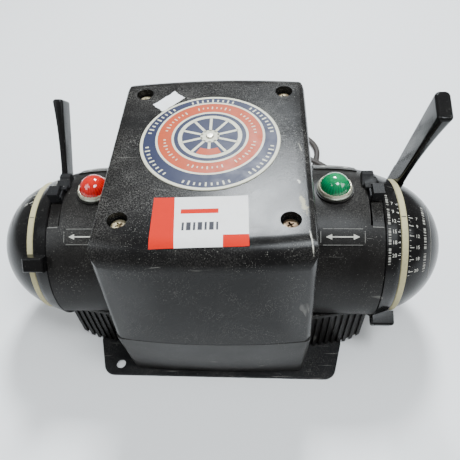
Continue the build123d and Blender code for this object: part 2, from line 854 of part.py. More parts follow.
bulb_z = 94.0
bulb_r = 4.4
with BuildPart() as lamp_bulb:
    with BuildSketch(upright_at(lamp_x, lamp_y)):
        with BuildLine():
            Line((0, bulb_z - 9), (bulb_r, bulb_z - 9))
            Line((bulb_r, bulb_z - 9), (bulb_r, bulb_z + 6))
            CenterArc((0, bulb_z + 6), bulb_r, 0, 90)
            Line((0, bulb_z + 6 + bulb_r), (0, bulb_z - 9))
        make_face()
    revolve(axis=Axis((lamp_x, lamp_y, 0), (0, 0, 1)))
write_mirrored(lamp_bulb.part, "lamp_bulb")

socket_foot_z = 82.5
with BuildPart() as lamp_socket:
    with BuildSketch(Plane.XY.offset(socket_foot_z)):
        with Locations((lamp_x, lamp_y)):
            Circle(5.6)
    extrude(amount=bulb_z - 1 - socket_foot_z)
    with BuildSketch(Plane.XY.offset(bulb_z - 9)):
        with Locations((lamp_x, lamp_y)):
            Circle(bulb_r)
    extrude(amount=10, mode=Mode.SUBTRACT)
    with BuildSketch(Plane.XY.offset(socket_foot_z)):
        with Locations(((bracket_x + bracket_t + lamp_x) / 2, lamp_y)):
            Rectangle(lamp_x - bracket_x - bracket_t, 7)
    extrude(amount=1.2)
write_mirrored(lamp_socket.part, "lamp_socket")

# ---------------------------------------------------------------- nameplate
nameplate_y = 10.6
nameplate_r = 38.7
nameplate_t = 0.6
nameplate_screw_r = 1.2
nameplate_screw_y = nameplate_y + 2.7
with BuildPart() as nameplate:
    with BuildSketch(Plane.XY.offset(top_z)):
        with Locations((0, nameplate_y)):
            Circle(nameplate_r)
        with Locations((0, nameplate_screw_y)):
            Circle(nameplate_screw_r, mode=Mode.SUBTRACT)
    extrude(amount=nameplate_t)
write(nameplate.part, "nameplate")

with BuildPart() as nameplate_screw:
    with BuildSketch(Plane.XY.offset(top_z)):
        with Locations((0, nameplate_screw_y)):
            Circle(nameplate_screw_r)
    extrude(amount=nameplate_t)
    with BuildSketch(Plane.XY.offset(top_z + nameplate_t)):
        with Locations((0, nameplate_screw_y)):
            Circle(2.1)
    extrude(amount=0.9)
    fillet(nameplate_screw.faces().sort_by(Axis.Z)[-1].edges(), 0.5)
write(nameplate_screw.part, "nameplate_screw")

# ---------------------------------------------------------------- paper labels
label_t = 0.25
with BuildPart() as paper_labels:
    with BuildSketch(Plane.YZ):
        with BuildLine():
            y0, z1 = front_top - bow, top_z + label_t
            r = front_edge_r + label_t
            Line((60, z1), (y0 - label_t + r, z1))
            RadiusArc((y0 - label_t + r, z1), (y0 - label_t, z1 - r), -r)
            Line((y0 - label_t, z1 - r), (60, z1 - r))
            Line((60, z1 - r), (60, z1))
        make_face()
    extrude(amount=half_x_top, both=True)
    with BuildSketch(Plane.XY.offset(top_z - 5)):
        with Locations((-1.5, -47.8)):
            Rectangle(47.0, 31.0, rotation=1.6)
        with Locations((-26.6, 46.4)):
            Rectangle(17.4, 9.2, rotation=46)
    extrude(amount=10, mode=Mode.INTERSECT)
    add(cover_outer, mode=Mode.SUBTRACT)
write(paper_labels.part, "paper_labels")

# ---------------------------------------------------------------- casing screws and nuts
with BuildPart() as cover_screws:
    with BuildSketch(Plane.XY.offset(plate_t + 0.4)):
        with Locations(*screw_places):
            Circle(screw_r)
    extrude(amount=screw_seat_z - plate_t - 0.4)
    with BuildSketch(Plane.XY.offset(screw_seat_z)):
        with Locations(*screw_places):
            Circle(screw_head_r)
    extrude(amount=screw_head_h)
    fillet(cover_screws.faces().group_by(Axis.Z)[-1].edges(), 1.4)
    with BuildSketch(Plane.XY.offset(screw_seat_z + screw_head_h - 1.4)):
        with Locations(*screw_places):
            Rectangle(screw_recess, screw_recess_w, rotation=30)
            Rectangle(screw_recess_w, screw_recess, rotation=30)
    extrude(amount=2, mode=Mode.SUBTRACT)
write(cover_screws.part, "cover_screws")

with BuildPart() as case_nuts:
    with BuildSketch(plate_top):
        with Locations(*screw_places):
            RegularPolygon(nut_flats / 2, 6, major_radius=False)
            Circle(screw_r, mode=Mode.SUBTRACT)
    extrude(amount=nut_h)
write(case_nuts.part, "case_nuts")

# ---------------------------------------------------------------- transformer
window_half_h = core_h / 2 - core_yoke
window_y = (core_leg_half + core_half_y - core_outer_leg) / 2
window_w = core_half_y - core_outer_leg - core_leg_half
core_mid_z = plate_t + core_h / 2
with BuildPart() as laminated_core:
    with BuildSketch(Plane.YZ):
        with Locations((0, core_mid_z)):
            Rectangle(2 * core_half_y, core_h)
        with Locations((-window_y, core_mid_z), (window_y, core_mid_z)):
            Rectangle(window_w, 2 * window_half_h, mode=Mode.SUBTRACT)
    extrude(amount=core_half_x, both=True)
write(laminated_core.part, "laminated_core")

bobbin_t = 1.5
flange_t = 1.6
coil_half_y = core_half_y - core_outer_leg - 0.8
with BuildPart() as coil_bobbin:
    with BuildSketch(Plane.XY.offset(core_mid_z)):
        Rectangle(2 * (core_half_x + bobbin_t), 2 * (core_leg_half + bobbin_t))
    extrude(amount=window_half_h, both=True)
    for z in (core_mid_z - window_half_h, core_mid_z + window_half_h - flange_t):
        with BuildSketch(Plane.XY.offset(z)):
            Rectangle(2 * coil_half_x, 2 * coil_half_y)
        extrude(amount=flange_t)
    with BuildSketch(Plane.XY.offset(core_mid_z)):
        Rectangle(2 * core_half_x, 2 * core_leg_half)
    extrude(amount=core_h, both=True, mode=Mode.SUBTRACT)
write(coil_bobbin.part, "coil_bobbin")

with BuildPart() as coil_winding:
    with BuildSketch(Plane.XY.offset(core_mid_z)):
        RectangleRounded(2 * coil_half_x, 2 * coil_half_y, 6)
        Rectangle(2 * (core_half_x + bobbin_t), 2 * (core_leg_half + bobbin_t), mode=Mode.SUBTRACT)
    extrude(amount=window_half_h - flange_t, both=True)
write(coil_winding.part, "coil_winding")

# ---------------------------------------------------------------- rectifier and circuit breaker
disc_r = 9.0
disc_count = 6
rectifier_y = -20.0
rectifier_z = core_top_z + disc_r + 1.5
with BuildPart() as rectifier_stack:
    for i in range(disc_count):
        with BuildSketch(Plane.YZ.offset(-14 + i * 5.0)):
            with Locations((rectifier_y, rectifier_z)):
                Circle(disc_r)
        extrude(amount=1.4)
    with BuildSketch(Plane.YZ.offset(-20)):
        with Locations((rectifier_y, rectifier_z)):
            Circle(3)
    extrude(amount=40)
    for x in (-20, 18):
        with BuildSketch(Plane.YZ.offset(x)):
            with Locations((rectifier_y, (core_top_z + rectifier_z + 4) / 2)):
                Rectangle(12, rectifier_z + 4 - core_top_z)
        extrude(amount=2)
write(rectifier_stack.part, "rectifier_stack")

with BuildPart() as circuit_breaker:
    with BuildSketch(Plane.XY.offset(core_top_z)):
        with Locations((6, 24)):
            Rectangle(30, 16)
    extrude(amount=12)
    chamfer(circuit_breaker.faces().sort_by(Axis.Z)[-1].edges(), 1)
write(circuit_breaker.part, "circuit_breaker")

# ---------------------------------------------------------------- rear terminals
post_r = 2.0
post_places = [((i - (terminal_count - 1) / 2) * terminal_pitch, terminal_z) for i in range(terminal_count)]
with BuildPart() as terminal_board:
    with BuildSketch(Plane.XZ.offset(-board_y - board_t / 2)):
        with Locations((0, terminal_z)):
            Rectangle(2 * board_half_x, 20.4)
        with Locations(*post_places):
            Circle(post_r, mode=Mode.SUBTRACT)
    extrude(amount=board_t)
write(terminal_board.part, "terminal_board")

board_face_y = board_y + board_t / 2
post_end_y = 81.0
with BuildPart() as binding_posts:
    with BuildSketch(Plane.XZ.offset(-board_face_y + board_t)):
        with Locations(*post_places):
            Circle(post_r)
    extrude(amount=board_face_y - board_t - post_end_y)
    with BuildSketch(Plane.XZ.offset(-board_face_y)):
        with Locations(*post_places):
            RegularPolygon(3.6, 6, major_radius=False)
    extrude(amount=-2.2)
write(binding_posts.part, "binding_posts")

nut_y0 = 70.5
nut_y1 = 77.0
thumb_nut_r = 4.4
with BuildPart() as thumb_nuts:
    with BuildSketch(Plane.XZ.offset(-nut_y0)):
        with Locations(*post_places):
            RegularPolygon(thumb_nut_r, 18)
            Circle(post_r, mode=Mode.SUBTRACT)
    extrude(amount=nut_y0 - nut_y1)
write(thumb_nuts.part, "thumb_nuts")

# ---------------------------------------------------------------- mains lead
relief_root_y = 61.0
relief_collar_y = 64.3
with BuildPart() as strain_relief:
    with BuildSketch(Plane(origin=(relief_x, 0, relief_z), x_dir=(1, 0, 0), z_dir=(0, 0, 1))):
        with BuildLine():
            Polyline(
                (0, relief_root_y),
                (5.8, relief_root_y),
                (5.8, relief_collar_y - 1.5),
                (4.8, relief_collar_y - 1.5),
                (4.8, 70.0),
                (6.0, 70.4),
                (6.0, 72.0),
                (4.6, 73.0),
                (cord_r + 0.6, relief_tip_y),
                (0, relief_tip_y),
                close=True,
            )
        make_face()
    revolve(axis=Axis((relief_x, 0, relief_z), (0, 1, 0)))
write(strain_relief.part, "strain_relief")


def cord_line(points):
    """Straight runs joined by arcs as large as their runs allow; prints the radii."""
    spots = [Vector(*p) for p in points]
    runs = [b - a for a, b in zip(spots, spots[1:])]
    radii = []
    for a, b in zip(runs, runs[1:]):
        turn = radians(a.get_angle(b))
        radii.append(0.45 * min(a.length, b.length) / tan(turn / 2))
    print("cord runs", [round(r.length, 1) for r in runs])
    print("cord radii", [round(r, 1) for r in radii])
    return FilletPolyline(*spots, radius=radii)


lead_points = [
    (relief_x, relief_tip_y, relief_z),
    (39.0, 112.0, 8.5),
    (45.0, 131.0, 8.0),
    (66.0, 138.5, 12.8),
    (88.0, 121.0, 12.8),
    (106.0, 109.0, 5.5),
    (110.0, 91.0, cord_z),
    (98.0, 77.5, cord_z),
    (80.5, 79.5, cord_z),
    (70.5, 95.0, cord_z),
    (73.0, 119.0, cord_z),
    (80.5, 140.0, cord_z),
    (83.5, 161.0, cord_z),
    (69.0, 181.0, cord_z),
    (46.0, 193.0, cord_z),
    (21.0, 191.5, cord_z),
    (-4.0, 186.0, cord_z),
]
plug_x = -45.5
plug_z = 5.0
plug_y0 = 92.0
plug_y1 = 116.0
tail_points = [
    (coil_x - coil_turn_r - 7.5, coil_y + 2, cord_z),
    (coil_x - coil_turn_r - 8.5, coil_y - 16, cord_z + 0.4),
    (plug_x, plug_y1, plug_z),
]
with BuildPart() as power_cord:
    for route in (lead_points, tail_points):
        with BuildLine():
            line = cord_line(route)
        with BuildSketch(Plane(origin=line @ 0, z_dir=line % 0)):
            Circle(cord_r)
        sweep()
        print("cord tube", round(line.length, 1), "length")
print("cord volume", round(power_cord.part.volume, 1))
write(power_cord.part, "power_cord")

coil_width = coil_turns_wide * 2 * cord_r
with BuildPart() as cord_coil:
    with BuildSketch(Plane.XY.offset(cord_z - cord_r)):
        with Locations((coil_x, coil_y)):
            Circle(coil_turn_r + coil_width / 2)
            Circle(coil_turn_r - coil_width / 2, mode=Mode.SUBTRACT)
    extrude(amount=coil_layers * 2 * cord_r)
write(cord_coil.part, "cord_coil")

with BuildPart() as plug_body:
    with BuildSketch(Plane(origin=(plug_x, plug_y1, plug_z), x_dir=(1, 0, 0), z_dir=(0, -1, 0))):
        RectangleRounded(9, 8, 2)
    with BuildSketch(Plane(origin=(plug_x, plug_y0, plug_z), x_dir=(1, 0, 0), z_dir=(0, -1, 0))):
        RectangleRounded(23, 9.8, 3)
    loft()
write(plug_body.part, "plug_body")

with BuildPart() as plug_blades:
    with BuildSketch(Plane(origin=(plug_x, plug_y0, plug_z), x_dir=(1, 0, 0), z_dir=(0, -1, 0))):
        with Locations((-6.35, 0), (6.35, 0)):
            Rectangle(1.5, 6.35)
    extrude(amount=15.5)
    chamfer(plug_blades.faces().group_by(Axis.Y)[0].edges().filter_by(Axis.Z), 0.5)
write(plug_blades.part, "plug_blades")
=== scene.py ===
"""Looks of a twin-throttle train set controller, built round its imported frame.

Metres, in the frame's own axes: +X to the right-hand wing, +Y to the back and +Z up. Angles round
the control shafts run from 0, straight to the front, over 90, straight up, to the back.
"""

import logging
from dataclasses import dataclass
from enum import Enum, IntEnum
from math import cos, pi, radians, sin, sqrt
from typing import Callable, ClassVar, Optional, Union

import bmesh
import bpy
from mathutils import Matrix, Vector
from mathutils.bvhtree import BVHTree


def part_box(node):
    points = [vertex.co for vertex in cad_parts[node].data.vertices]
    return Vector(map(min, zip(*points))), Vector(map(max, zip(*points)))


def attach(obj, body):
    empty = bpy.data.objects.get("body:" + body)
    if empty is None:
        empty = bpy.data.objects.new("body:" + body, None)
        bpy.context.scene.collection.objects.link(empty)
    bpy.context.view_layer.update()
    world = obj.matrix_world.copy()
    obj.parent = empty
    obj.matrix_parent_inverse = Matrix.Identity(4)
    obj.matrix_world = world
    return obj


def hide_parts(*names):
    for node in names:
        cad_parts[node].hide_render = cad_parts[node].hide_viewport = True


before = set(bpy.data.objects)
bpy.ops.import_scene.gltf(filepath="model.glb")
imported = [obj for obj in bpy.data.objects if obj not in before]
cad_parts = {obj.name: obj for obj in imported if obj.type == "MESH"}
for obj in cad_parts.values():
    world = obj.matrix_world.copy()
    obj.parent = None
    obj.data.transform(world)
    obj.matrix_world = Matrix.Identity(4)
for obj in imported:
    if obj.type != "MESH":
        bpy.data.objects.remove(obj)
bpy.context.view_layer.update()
log = logging.getLogger("train_set_controller")

MM = 0.001
Colour = tuple[float, float, float]
Socket = bpy.types.NodeSocket
Feed = Union[float, Colour, Socket]
SHAFT_Z = sum(corner.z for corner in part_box("right_throttle_shaft")) / 2
COVER_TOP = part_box("nameplate")[0].z


class Side(Enum):
    """A wing of the controller, with the sign of its X."""

    LEFT = -1
    RIGHT = 1

    @property
    def word(self) -> str:
        """Return the prefix of this side's node names."""
        return self.name.lower()


# ---------------------------------------------------------------- finishes
@dataclass(frozen=True)
class Rub:
    """A patch at one place of the object, used for rust, wear and painted highlight alike; lengths
    in millimetres.

    Attributes:
        place: its middle.
        reach: its half-lengths along its own axes.
        turn: its turn about Z, in degrees.
        colour: what shows in it.
        share: how much of it covers, from 0 to 1.
    """

    place: Colour
    reach: Colour
    turn: float
    colour: Colour
    share: float = 0.85


class Canvas:
    """Node tree of one material, written from its coordinates to its shader."""

    def __init__(self, name: str) -> None:
        """Start a material.

        Args:
            name: the material's name.
        """
        self.material = bpy.data.materials.new(name)
        self.material.use_nodes = True
        self.tree = self.material.node_tree
        self.shader = self.tree.nodes["Principled BSDF"]
        coordinates = self.tree.nodes.new("ShaderNodeTexCoord")
        self.place = coordinates.outputs["Object"]
        self.facing = coordinates.outputs["Normal"]
        self.uv = coordinates.outputs["UV"]

    def put(self, kind: str, inputs: Optional[dict] = None, **settings: object) -> bpy.types.Node:
        """Add a node.

        Args:
            kind: the node's Blender type.
            inputs: values or sockets for its inputs, by name or index.
            **settings: the node's own properties.

        Returns:
            The new node.
        """
        made = self.tree.nodes.new(kind)
        for key, value in settings.items():
            setattr(made, key, value)
        for key, value in (inputs or {}).items():
            if isinstance(value, Socket):
                self.tree.links.new(value, made.inputs[key])
            else:
                made.inputs[key].default_value = value
        return made

    def moved(self, scale: Colour, turn: Colour = (0, 0, 0)) -> Socket:
        """Return object coordinates, turned by degrees and scaled."""
        inputs = {"Vector": self.place, "Scale": scale, "Rotation": tuple(map(radians, turn))}
        return self.put("ShaderNodeMapping", inputs).outputs[0]

    def noise(self, scale: float, detail: float = 4.0, at: Optional[Socket] = None) -> Socket:
        """Return a noise value; scale is in features a metre."""
        inputs = {"Vector": at or self.place, "Scale": scale, "Detail": detail, "Roughness": 0.6}
        return self.put("ShaderNodeTexNoise", inputs).outputs[0]

    def calc(self, operation: str, a: Feed, b: Feed = 0.0) -> Socket:
        """Return the result of a sum on one or two values."""
        return self.put("ShaderNodeMath", {0: a, 1: b}, operation=operation).outputs[0]

    def window(self, value: Socket, low: float, high: float, top: float = 1.0) -> Socket:
        """Return value stretched so that low becomes 0 and high becomes top, clamped."""
        inputs = {"Value": value, "From Min": low, "From Max": high, "To Min": 0.0, "To Max": top}
        return self.put("ShaderNodeMapRange", inputs).outputs[0]

    def part(self, vector: Socket, axis: str) -> Socket:
        """Return one component of a vector."""
        return self.put("ShaderNodeSeparateXYZ", {0: vector}).outputs[axis]

    def blend(self, share: Feed, a: Union[Colour, Socket], b: Union[Colour, Socket]) -> Socket:
        """Return a colour between a and b.

        Args:
            share: how much of b, from 0 to 1.
            a: the colour, or the socket, at 0.
            b: the colour, or the socket, at 1.

        Returns:
            The mixed colour's socket.
        """
        first, second = (end if isinstance(end, Socket) else (*end, 1) for end in (a, b))
        inputs = {0: share, 6: first, 7: second}
        return self.put("ShaderNodeMix", inputs, data_type="RGBA").outputs[2]

    def specks(self, scale: float, size: float, kept: float) -> Socket:
        """Return a mask of scattered round specks.

        Args:
            scale: cells a metre.
            size: a speck's radius, as a share of its cell.
            kept: share of the cells that hold a speck.

        Returns:
            1 inside a speck, 0 elsewhere.
        """
        inputs = {"Vector": self.place, "Scale": scale, "Randomness": 1.0}
        cells = self.put("ShaderNodeTexVoronoi", inputs)
        dots = self.window(cells.outputs["Distance"], size, size * 0.6)
        chosen = self.window(self.part(cells.outputs["Color"], "X"), 1 - kept, 1 - kept + 0.02)
        return self.calc("MULTIPLY", dots, chosen)

    def scratches(self, turn: Colour, fine: float, kept: float) -> Socket:
        """Return a mask of thin scratches that lie along one direction.

        Args:
            turn: the direction, as turns about X, Y and Z in degrees.
            fine: scratches a metre across the direction.
            kept: 0 for none, towards 1 for many.

        Returns:
            1 in a scratch, 0 elsewhere.
        """
        streaks = self.noise(1.0, 2.0, self.moved((30.0, fine, 30.0), turn))
        patchy = self.window(self.noise(35.0, 2.0), 0.45, 0.6)
        lines = self.window(streaks, 0.74 - 0.08 * kept, 0.77 - 0.08 * kept)
        return self.calc("MULTIPLY", lines, patchy)

    def patch(self, wear_sheen: Rub) -> Socket:
        """Return the mask of one patch, ragged at its edge.

        Args:
            wear_sheen: the mark.

        Returns:
            The mark's share well inside it, 0 outside.
        """
        inputs = {"Vector": self.place, "Location": tuple(v * MM for v in wear_sheen.place)}
        inputs["Rotation"] = (0.0, 0.0, radians(wear_sheen.turn))
        inputs["Scale"] = tuple(v * MM for v in wear_sheen.reach)
        near = self.put("ShaderNodeMapping", inputs, vector_type="TEXTURE").outputs[0]
        far = self.put("ShaderNodeVectorMath", {0: near}, operation="LENGTH").outputs["Value"]
        ragged = self.calc("ADD", far, self.window(self.noise(520.0, 5.0), 0.25, 0.75, 0.8))
        return self.window(ragged, 1.25, 0.85, wear_sheen.share)

    def bump(self, height: Socket, distance: float, strength: float = 0.5) -> None:
        """Add relief on top of what the shader already has.

        Args:
            height: the relief, from 0 to 1.
            distance: how high 1 stands, in metres; below 0 for a hollow.
            strength: how much of it shows.
        """
        inputs = {"Height": height, "Distance": distance, "Strength": strength}
        normal = self.shader.inputs["Normal"]
        if normal.is_linked:
            inputs["Normal"] = normal.links[0].from_socket
        made = self.put("ShaderNodeBump", inputs)
        self.tree.links.new(made.outputs[0], normal)

    def finish(self, **inputs: Feed) -> bpy.types.Material:
        """Feed the shader and hand over the material.

        Args:
            **inputs: values, colours or sockets by the shader's input names, with _ for a space.

        Returns:
            The finished material.
        """
        for key, value in inputs.items():
            socket = self.shader.inputs[key.replace("_", " ")]
            if isinstance(value, Socket):
                self.tree.links.new(value, socket)
            else:
                socket.default_value = (*value, 1) if isinstance(value, tuple) else value
        return self.material


@dataclass(frozen=True)
class Bakelite:
    """Black phenolic moulding with settled dust, pale specks and fine scratches."""

    name: str
    black: Colour = (0.0042, 0.0040, 0.0040)
    dust: float = 0.5
    gloss: float = 0.70
    specks: float = 0.35
    scratched: float = 0.5
    shine: float = 0.16
    wear_and_sheen: tuple[Rub, ...] = ()

    def material(self) -> bpy.types.Material:
        """Build the finish's node tree.

        Returns:
            The material.
        """
        c = Canvas(self.name)
        film = c.window(c.noise(26.0, 5.0), 0.36, 0.72, self.dust)
        upward = c.window(c.part(c.facing, "Z"), -0.2, 0.95)
        grain = c.window(c.noise(1500.0, 3.0), 0.42, 0.74)
        dust = c.calc("MULTIPLY", c.calc("MULTIPLY", film, upward), grain)
        coarse = c.calc("MULTIPLY", c.specks(520.0, 0.15, 0.22 * self.specks), upward)
        fine = c.specks(1500.0, 0.30, 0.75 * self.specks)
        fine = c.calc("MULTIPLY", fine, c.window(c.noise(60.0, 3.0), 0.4, 0.7))
        marks = c.calc("MAXIMUM", coarse, fine)
        lines = c.calc(
            "MAXIMUM",
            c.scratches((0, 0, 24), 900.0, self.scratched),
            c.scratches((12, 35, -58), 700.0, self.scratched),
        )
        mottled = c.blend(c.noise(70.0, 6.0), self.black, tuple(v * 2.4 for v in self.black))
        colour = c.blend(dust, mottled, (0.17, 0.16, 0.145))
        colour = c.blend(c.calc("MULTIPLY", marks, 0.6), colour, (0.36, 0.345, 0.31))
        worn = c.calc("MULTIPLY", lines, 0.45 * self.scratched)
        colour = c.blend(worn, colour, (0.34, 0.33, 0.30))
        rough = c.window(c.noise(45.0, 6.0), 0.2, 0.8, 0.12)
        rough = c.calc("ADD", rough, c.calc("MULTIPLY", dust, 0.4))
        rough = c.calc("ADD", rough, 1.0 - self.gloss)
        # Given patches; on the cover these are streaks along the right top edge: wear, and painted
        # highlight of the rounded edge.
        for wear_sheen in self.wear_and_sheen:
            colour = c.blend(c.patch(wear_sheen), colour, wear_sheen.colour)
        c.bump(c.noise(650.0, 3.0), 0.00012, 0.18)
        c.bump(c.calc("SUBTRACT", marks, lines), 0.00008, 0.35)
        return c.finish(Base_Color=colour, Roughness=rough, Specular_IOR_Level=self.shine)


@dataclass(frozen=True)
class Metal:
    """Bare or plated metal with tarnish in patches and fine wear lines."""

    name: str
    bright: Colour
    tarnish: Colour
    tarnished: float = 0.4
    roughness: float = 0.3
    metallic: float = 1.0
    wear_and_sheen: tuple[Rub, ...] = ()

    def material(self) -> bpy.types.Material:
        """Build the finish's node tree.

        Returns:
            The material.
        """
        c = Canvas(self.name)
        low, high = 0.62 - 0.3 * self.tarnished, 0.78 - 0.2 * self.tarnished
        patches = c.window(c.noise(260.0, 6.0), low, high)
        grime = c.window(c.noise(2600.0, 3.0), 0.45, 0.75, 0.5)
        share = c.calc("MAXIMUM", patches, c.calc("MULTIPLY", grime, self.tarnished))
        rough = c.calc("ADD", c.calc("MULTIPLY", share, 0.35), self.roughness)
        c.bump(c.noise(1900.0, 4.0), 0.00006, 0.3)
        c.bump(c.scratches((0, 0, 40), 2500.0, 0.6), -0.00005, 0.4)
        colour = c.blend(share, self.bright, self.tarnish)
        for wear_sheen in self.wear_and_sheen:
            colour = c.blend(c.patch(wear_sheen), colour, wear_sheen.colour)
        return c.finish(Base_Color=colour, Roughness=rough, Metallic=self.metallic)


@dataclass(frozen=True)
class Enamel:
    """Printed enamel or paint: an even colour with chips, grime and rub marks."""

    name: str
    colour: Colour
    under: Colour = (0.20, 0.19, 0.17)
    chipped: float = 0.3
    roughness: float = 0.32

    def material(self) -> bpy.types.Material:
        """Build the finish's node tree.

        Returns:
            The material.
        """
        c = Canvas(self.name)
        fading = c.window(c.noise(90.0, 5.0), 0.3, 0.8, 0.35)
        faded = c.blend(fading, self.colour, tuple(v * 0.55 for v in self.colour))
        grime = c.window(c.noise(700.0, 4.0), 0.5, 0.82, 0.4)
        colour = c.blend(grime, faded, tuple(v * 0.35 for v in self.colour))
        low, high = 0.76 - 0.1 * self.chipped, 0.78 - 0.1 * self.chipped
        chips = c.window(c.noise(1100.0, 5.0), low, high)
        colour = c.blend(c.calc("MULTIPLY", chips, 0.8), colour, self.under)
        rough = c.calc("ADD", c.window(c.noise(160.0, 4.0), 0.3, 0.8, 0.2), self.roughness)
        c.bump(chips, -0.00004, 0.5)
        c.bump(c.noise(800.0, 2.0), 0.00004, 0.15)
        return c.finish(Base_Color=colour, Roughness=rough, Specular_IOR_Level=0.22)


@dataclass(frozen=True)
class Paper:
    """Printed paper: fibres, faint stains and a matt surface."""

    name: str
    colour: Colour

    def material(self) -> bpy.types.Material:
        """Build the finish's node tree.

        Returns:
            The material.
        """
        c = Canvas(self.name)
        grain = c.noise(1.0, 4.0, c.moved((900.0, 3000.0, 900.0), (0, 0, 20)))
        fibres = c.window(grain, 0.3, 0.8, 0.16)
        stains = c.window(c.noise(120.0, 5.0), 0.5, 0.85, 0.3)
        colour = c.blend(fibres, self.colour, tuple(v * 0.7 for v in self.colour))
        yellowed = tuple(v * t for v, t in zip(self.colour, (0.72, 0.66, 0.55)))
        colour = c.blend(stains, colour, yellowed)
        c.bump(c.noise(2200.0, 3.0), 0.00005, 0.25)
        return c.finish(Base_Color=colour, Roughness=0.62, Specular_IOR_Level=0.12)


@dataclass(frozen=True)
class Jewel:
    """Translucent moulded lamp jewel, fluted inside and glossy outside."""

    name: str
    colour: Colour
    deep: Colour

    def material(self) -> bpy.types.Material:
        """Build the finish's node tree.

        Returns:
            The material.
        """
        c = Canvas(self.name)
        # Painted shade: the colour deepens along the inner flutes, less towards the tip; the
        # streaks are a random tone.
        flutes = c.part(c.uv, "X")
        streak = c.window(c.noise(1.0, 3.0, c.moved((500.0, 500.0, 120.0))), 0.35, 0.75, 0.6)
        flute_shade_and_streaks = c.calc("MULTIPLY", c.calc("ADD", flutes, streak), 0.62)
        colour = c.blend(flute_shade_and_streaks, self.colour, self.deep)
        c.bump(c.noise(400.0, 2.0), 0.00006, 0.12)
        # The emission is a painted glow in the jewel's own colour; no lamp is lit behind it.
        return c.finish(
            Base_Color=colour, Roughness=0.12, Coat_Weight=0.6, Coat_Roughness=0.05,
            Subsurface_Weight=0.25, Subsurface_Scale=0.003,
            Emission_Color=self.colour, Emission_Strength=0.10,
        )


@dataclass(frozen=True)
class Rubber:
    """Aged rubber or vinyl lead covering: matt, rubbed and slightly dusty."""

    name: str
    colour: Colour
    worn: Colour
    roughness: float = 0.55

    def material(self) -> bpy.types.Material:
        """Build the finish's node tree.

        Returns:
            The material.
        """
        c = Canvas(self.name)
        rubbed = c.window(c.noise(150.0, 5.0), 0.42, 0.75, 0.7)
        dusty = c.window(c.noise(2400.0, 3.0), 0.5, 0.8, 0.22)
        colour = c.blend(rubbed, self.colour, self.worn)
        colour = c.blend(dusty, colour, tuple(min(1.0, v * 3 + 0.03) for v in self.worn))
        rough = c.calc("ADD", c.calc("MULTIPLY", rubbed, 0.2), self.roughness)
        c.bump(c.noise(1800.0, 4.0), 0.00010, 0.3)
        return c.finish(Base_Color=colour, Roughness=rough)


@dataclass(frozen=True)
class Layered:
    """Thin layers or turns laid side by side along one axis, as in a core or a winding."""

    name: str
    colour: Colour
    gap: Colour
    pitch: float
    axis: str = "X"
    metallic: float = 0.8
    roughness: float = 0.4

    def material(self) -> bpy.types.Material:
        """Build the finish's node tree.

        Returns:
            The material.
        """
        c = Canvas(self.name)
        phase = c.calc("MULTIPLY", c.part(c.place, self.axis), 2 * pi / self.pitch)
        ridge = c.calc("ABSOLUTE", c.calc("SINE", phase))
        tone = c.window(c.noise(200.0, 4.0), 0.3, 0.8, 0.5)
        body = c.blend(tone, self.colour, tuple(v * 0.5 for v in self.colour))
        colour = c.blend(c.window(ridge, 0.35, 0.0), body, self.gap)
        c.bump(ridge, self.pitch * 0.3, 0.6)
        return c.finish(Base_Color=colour, Roughness=self.roughness, Metallic=self.metallic)


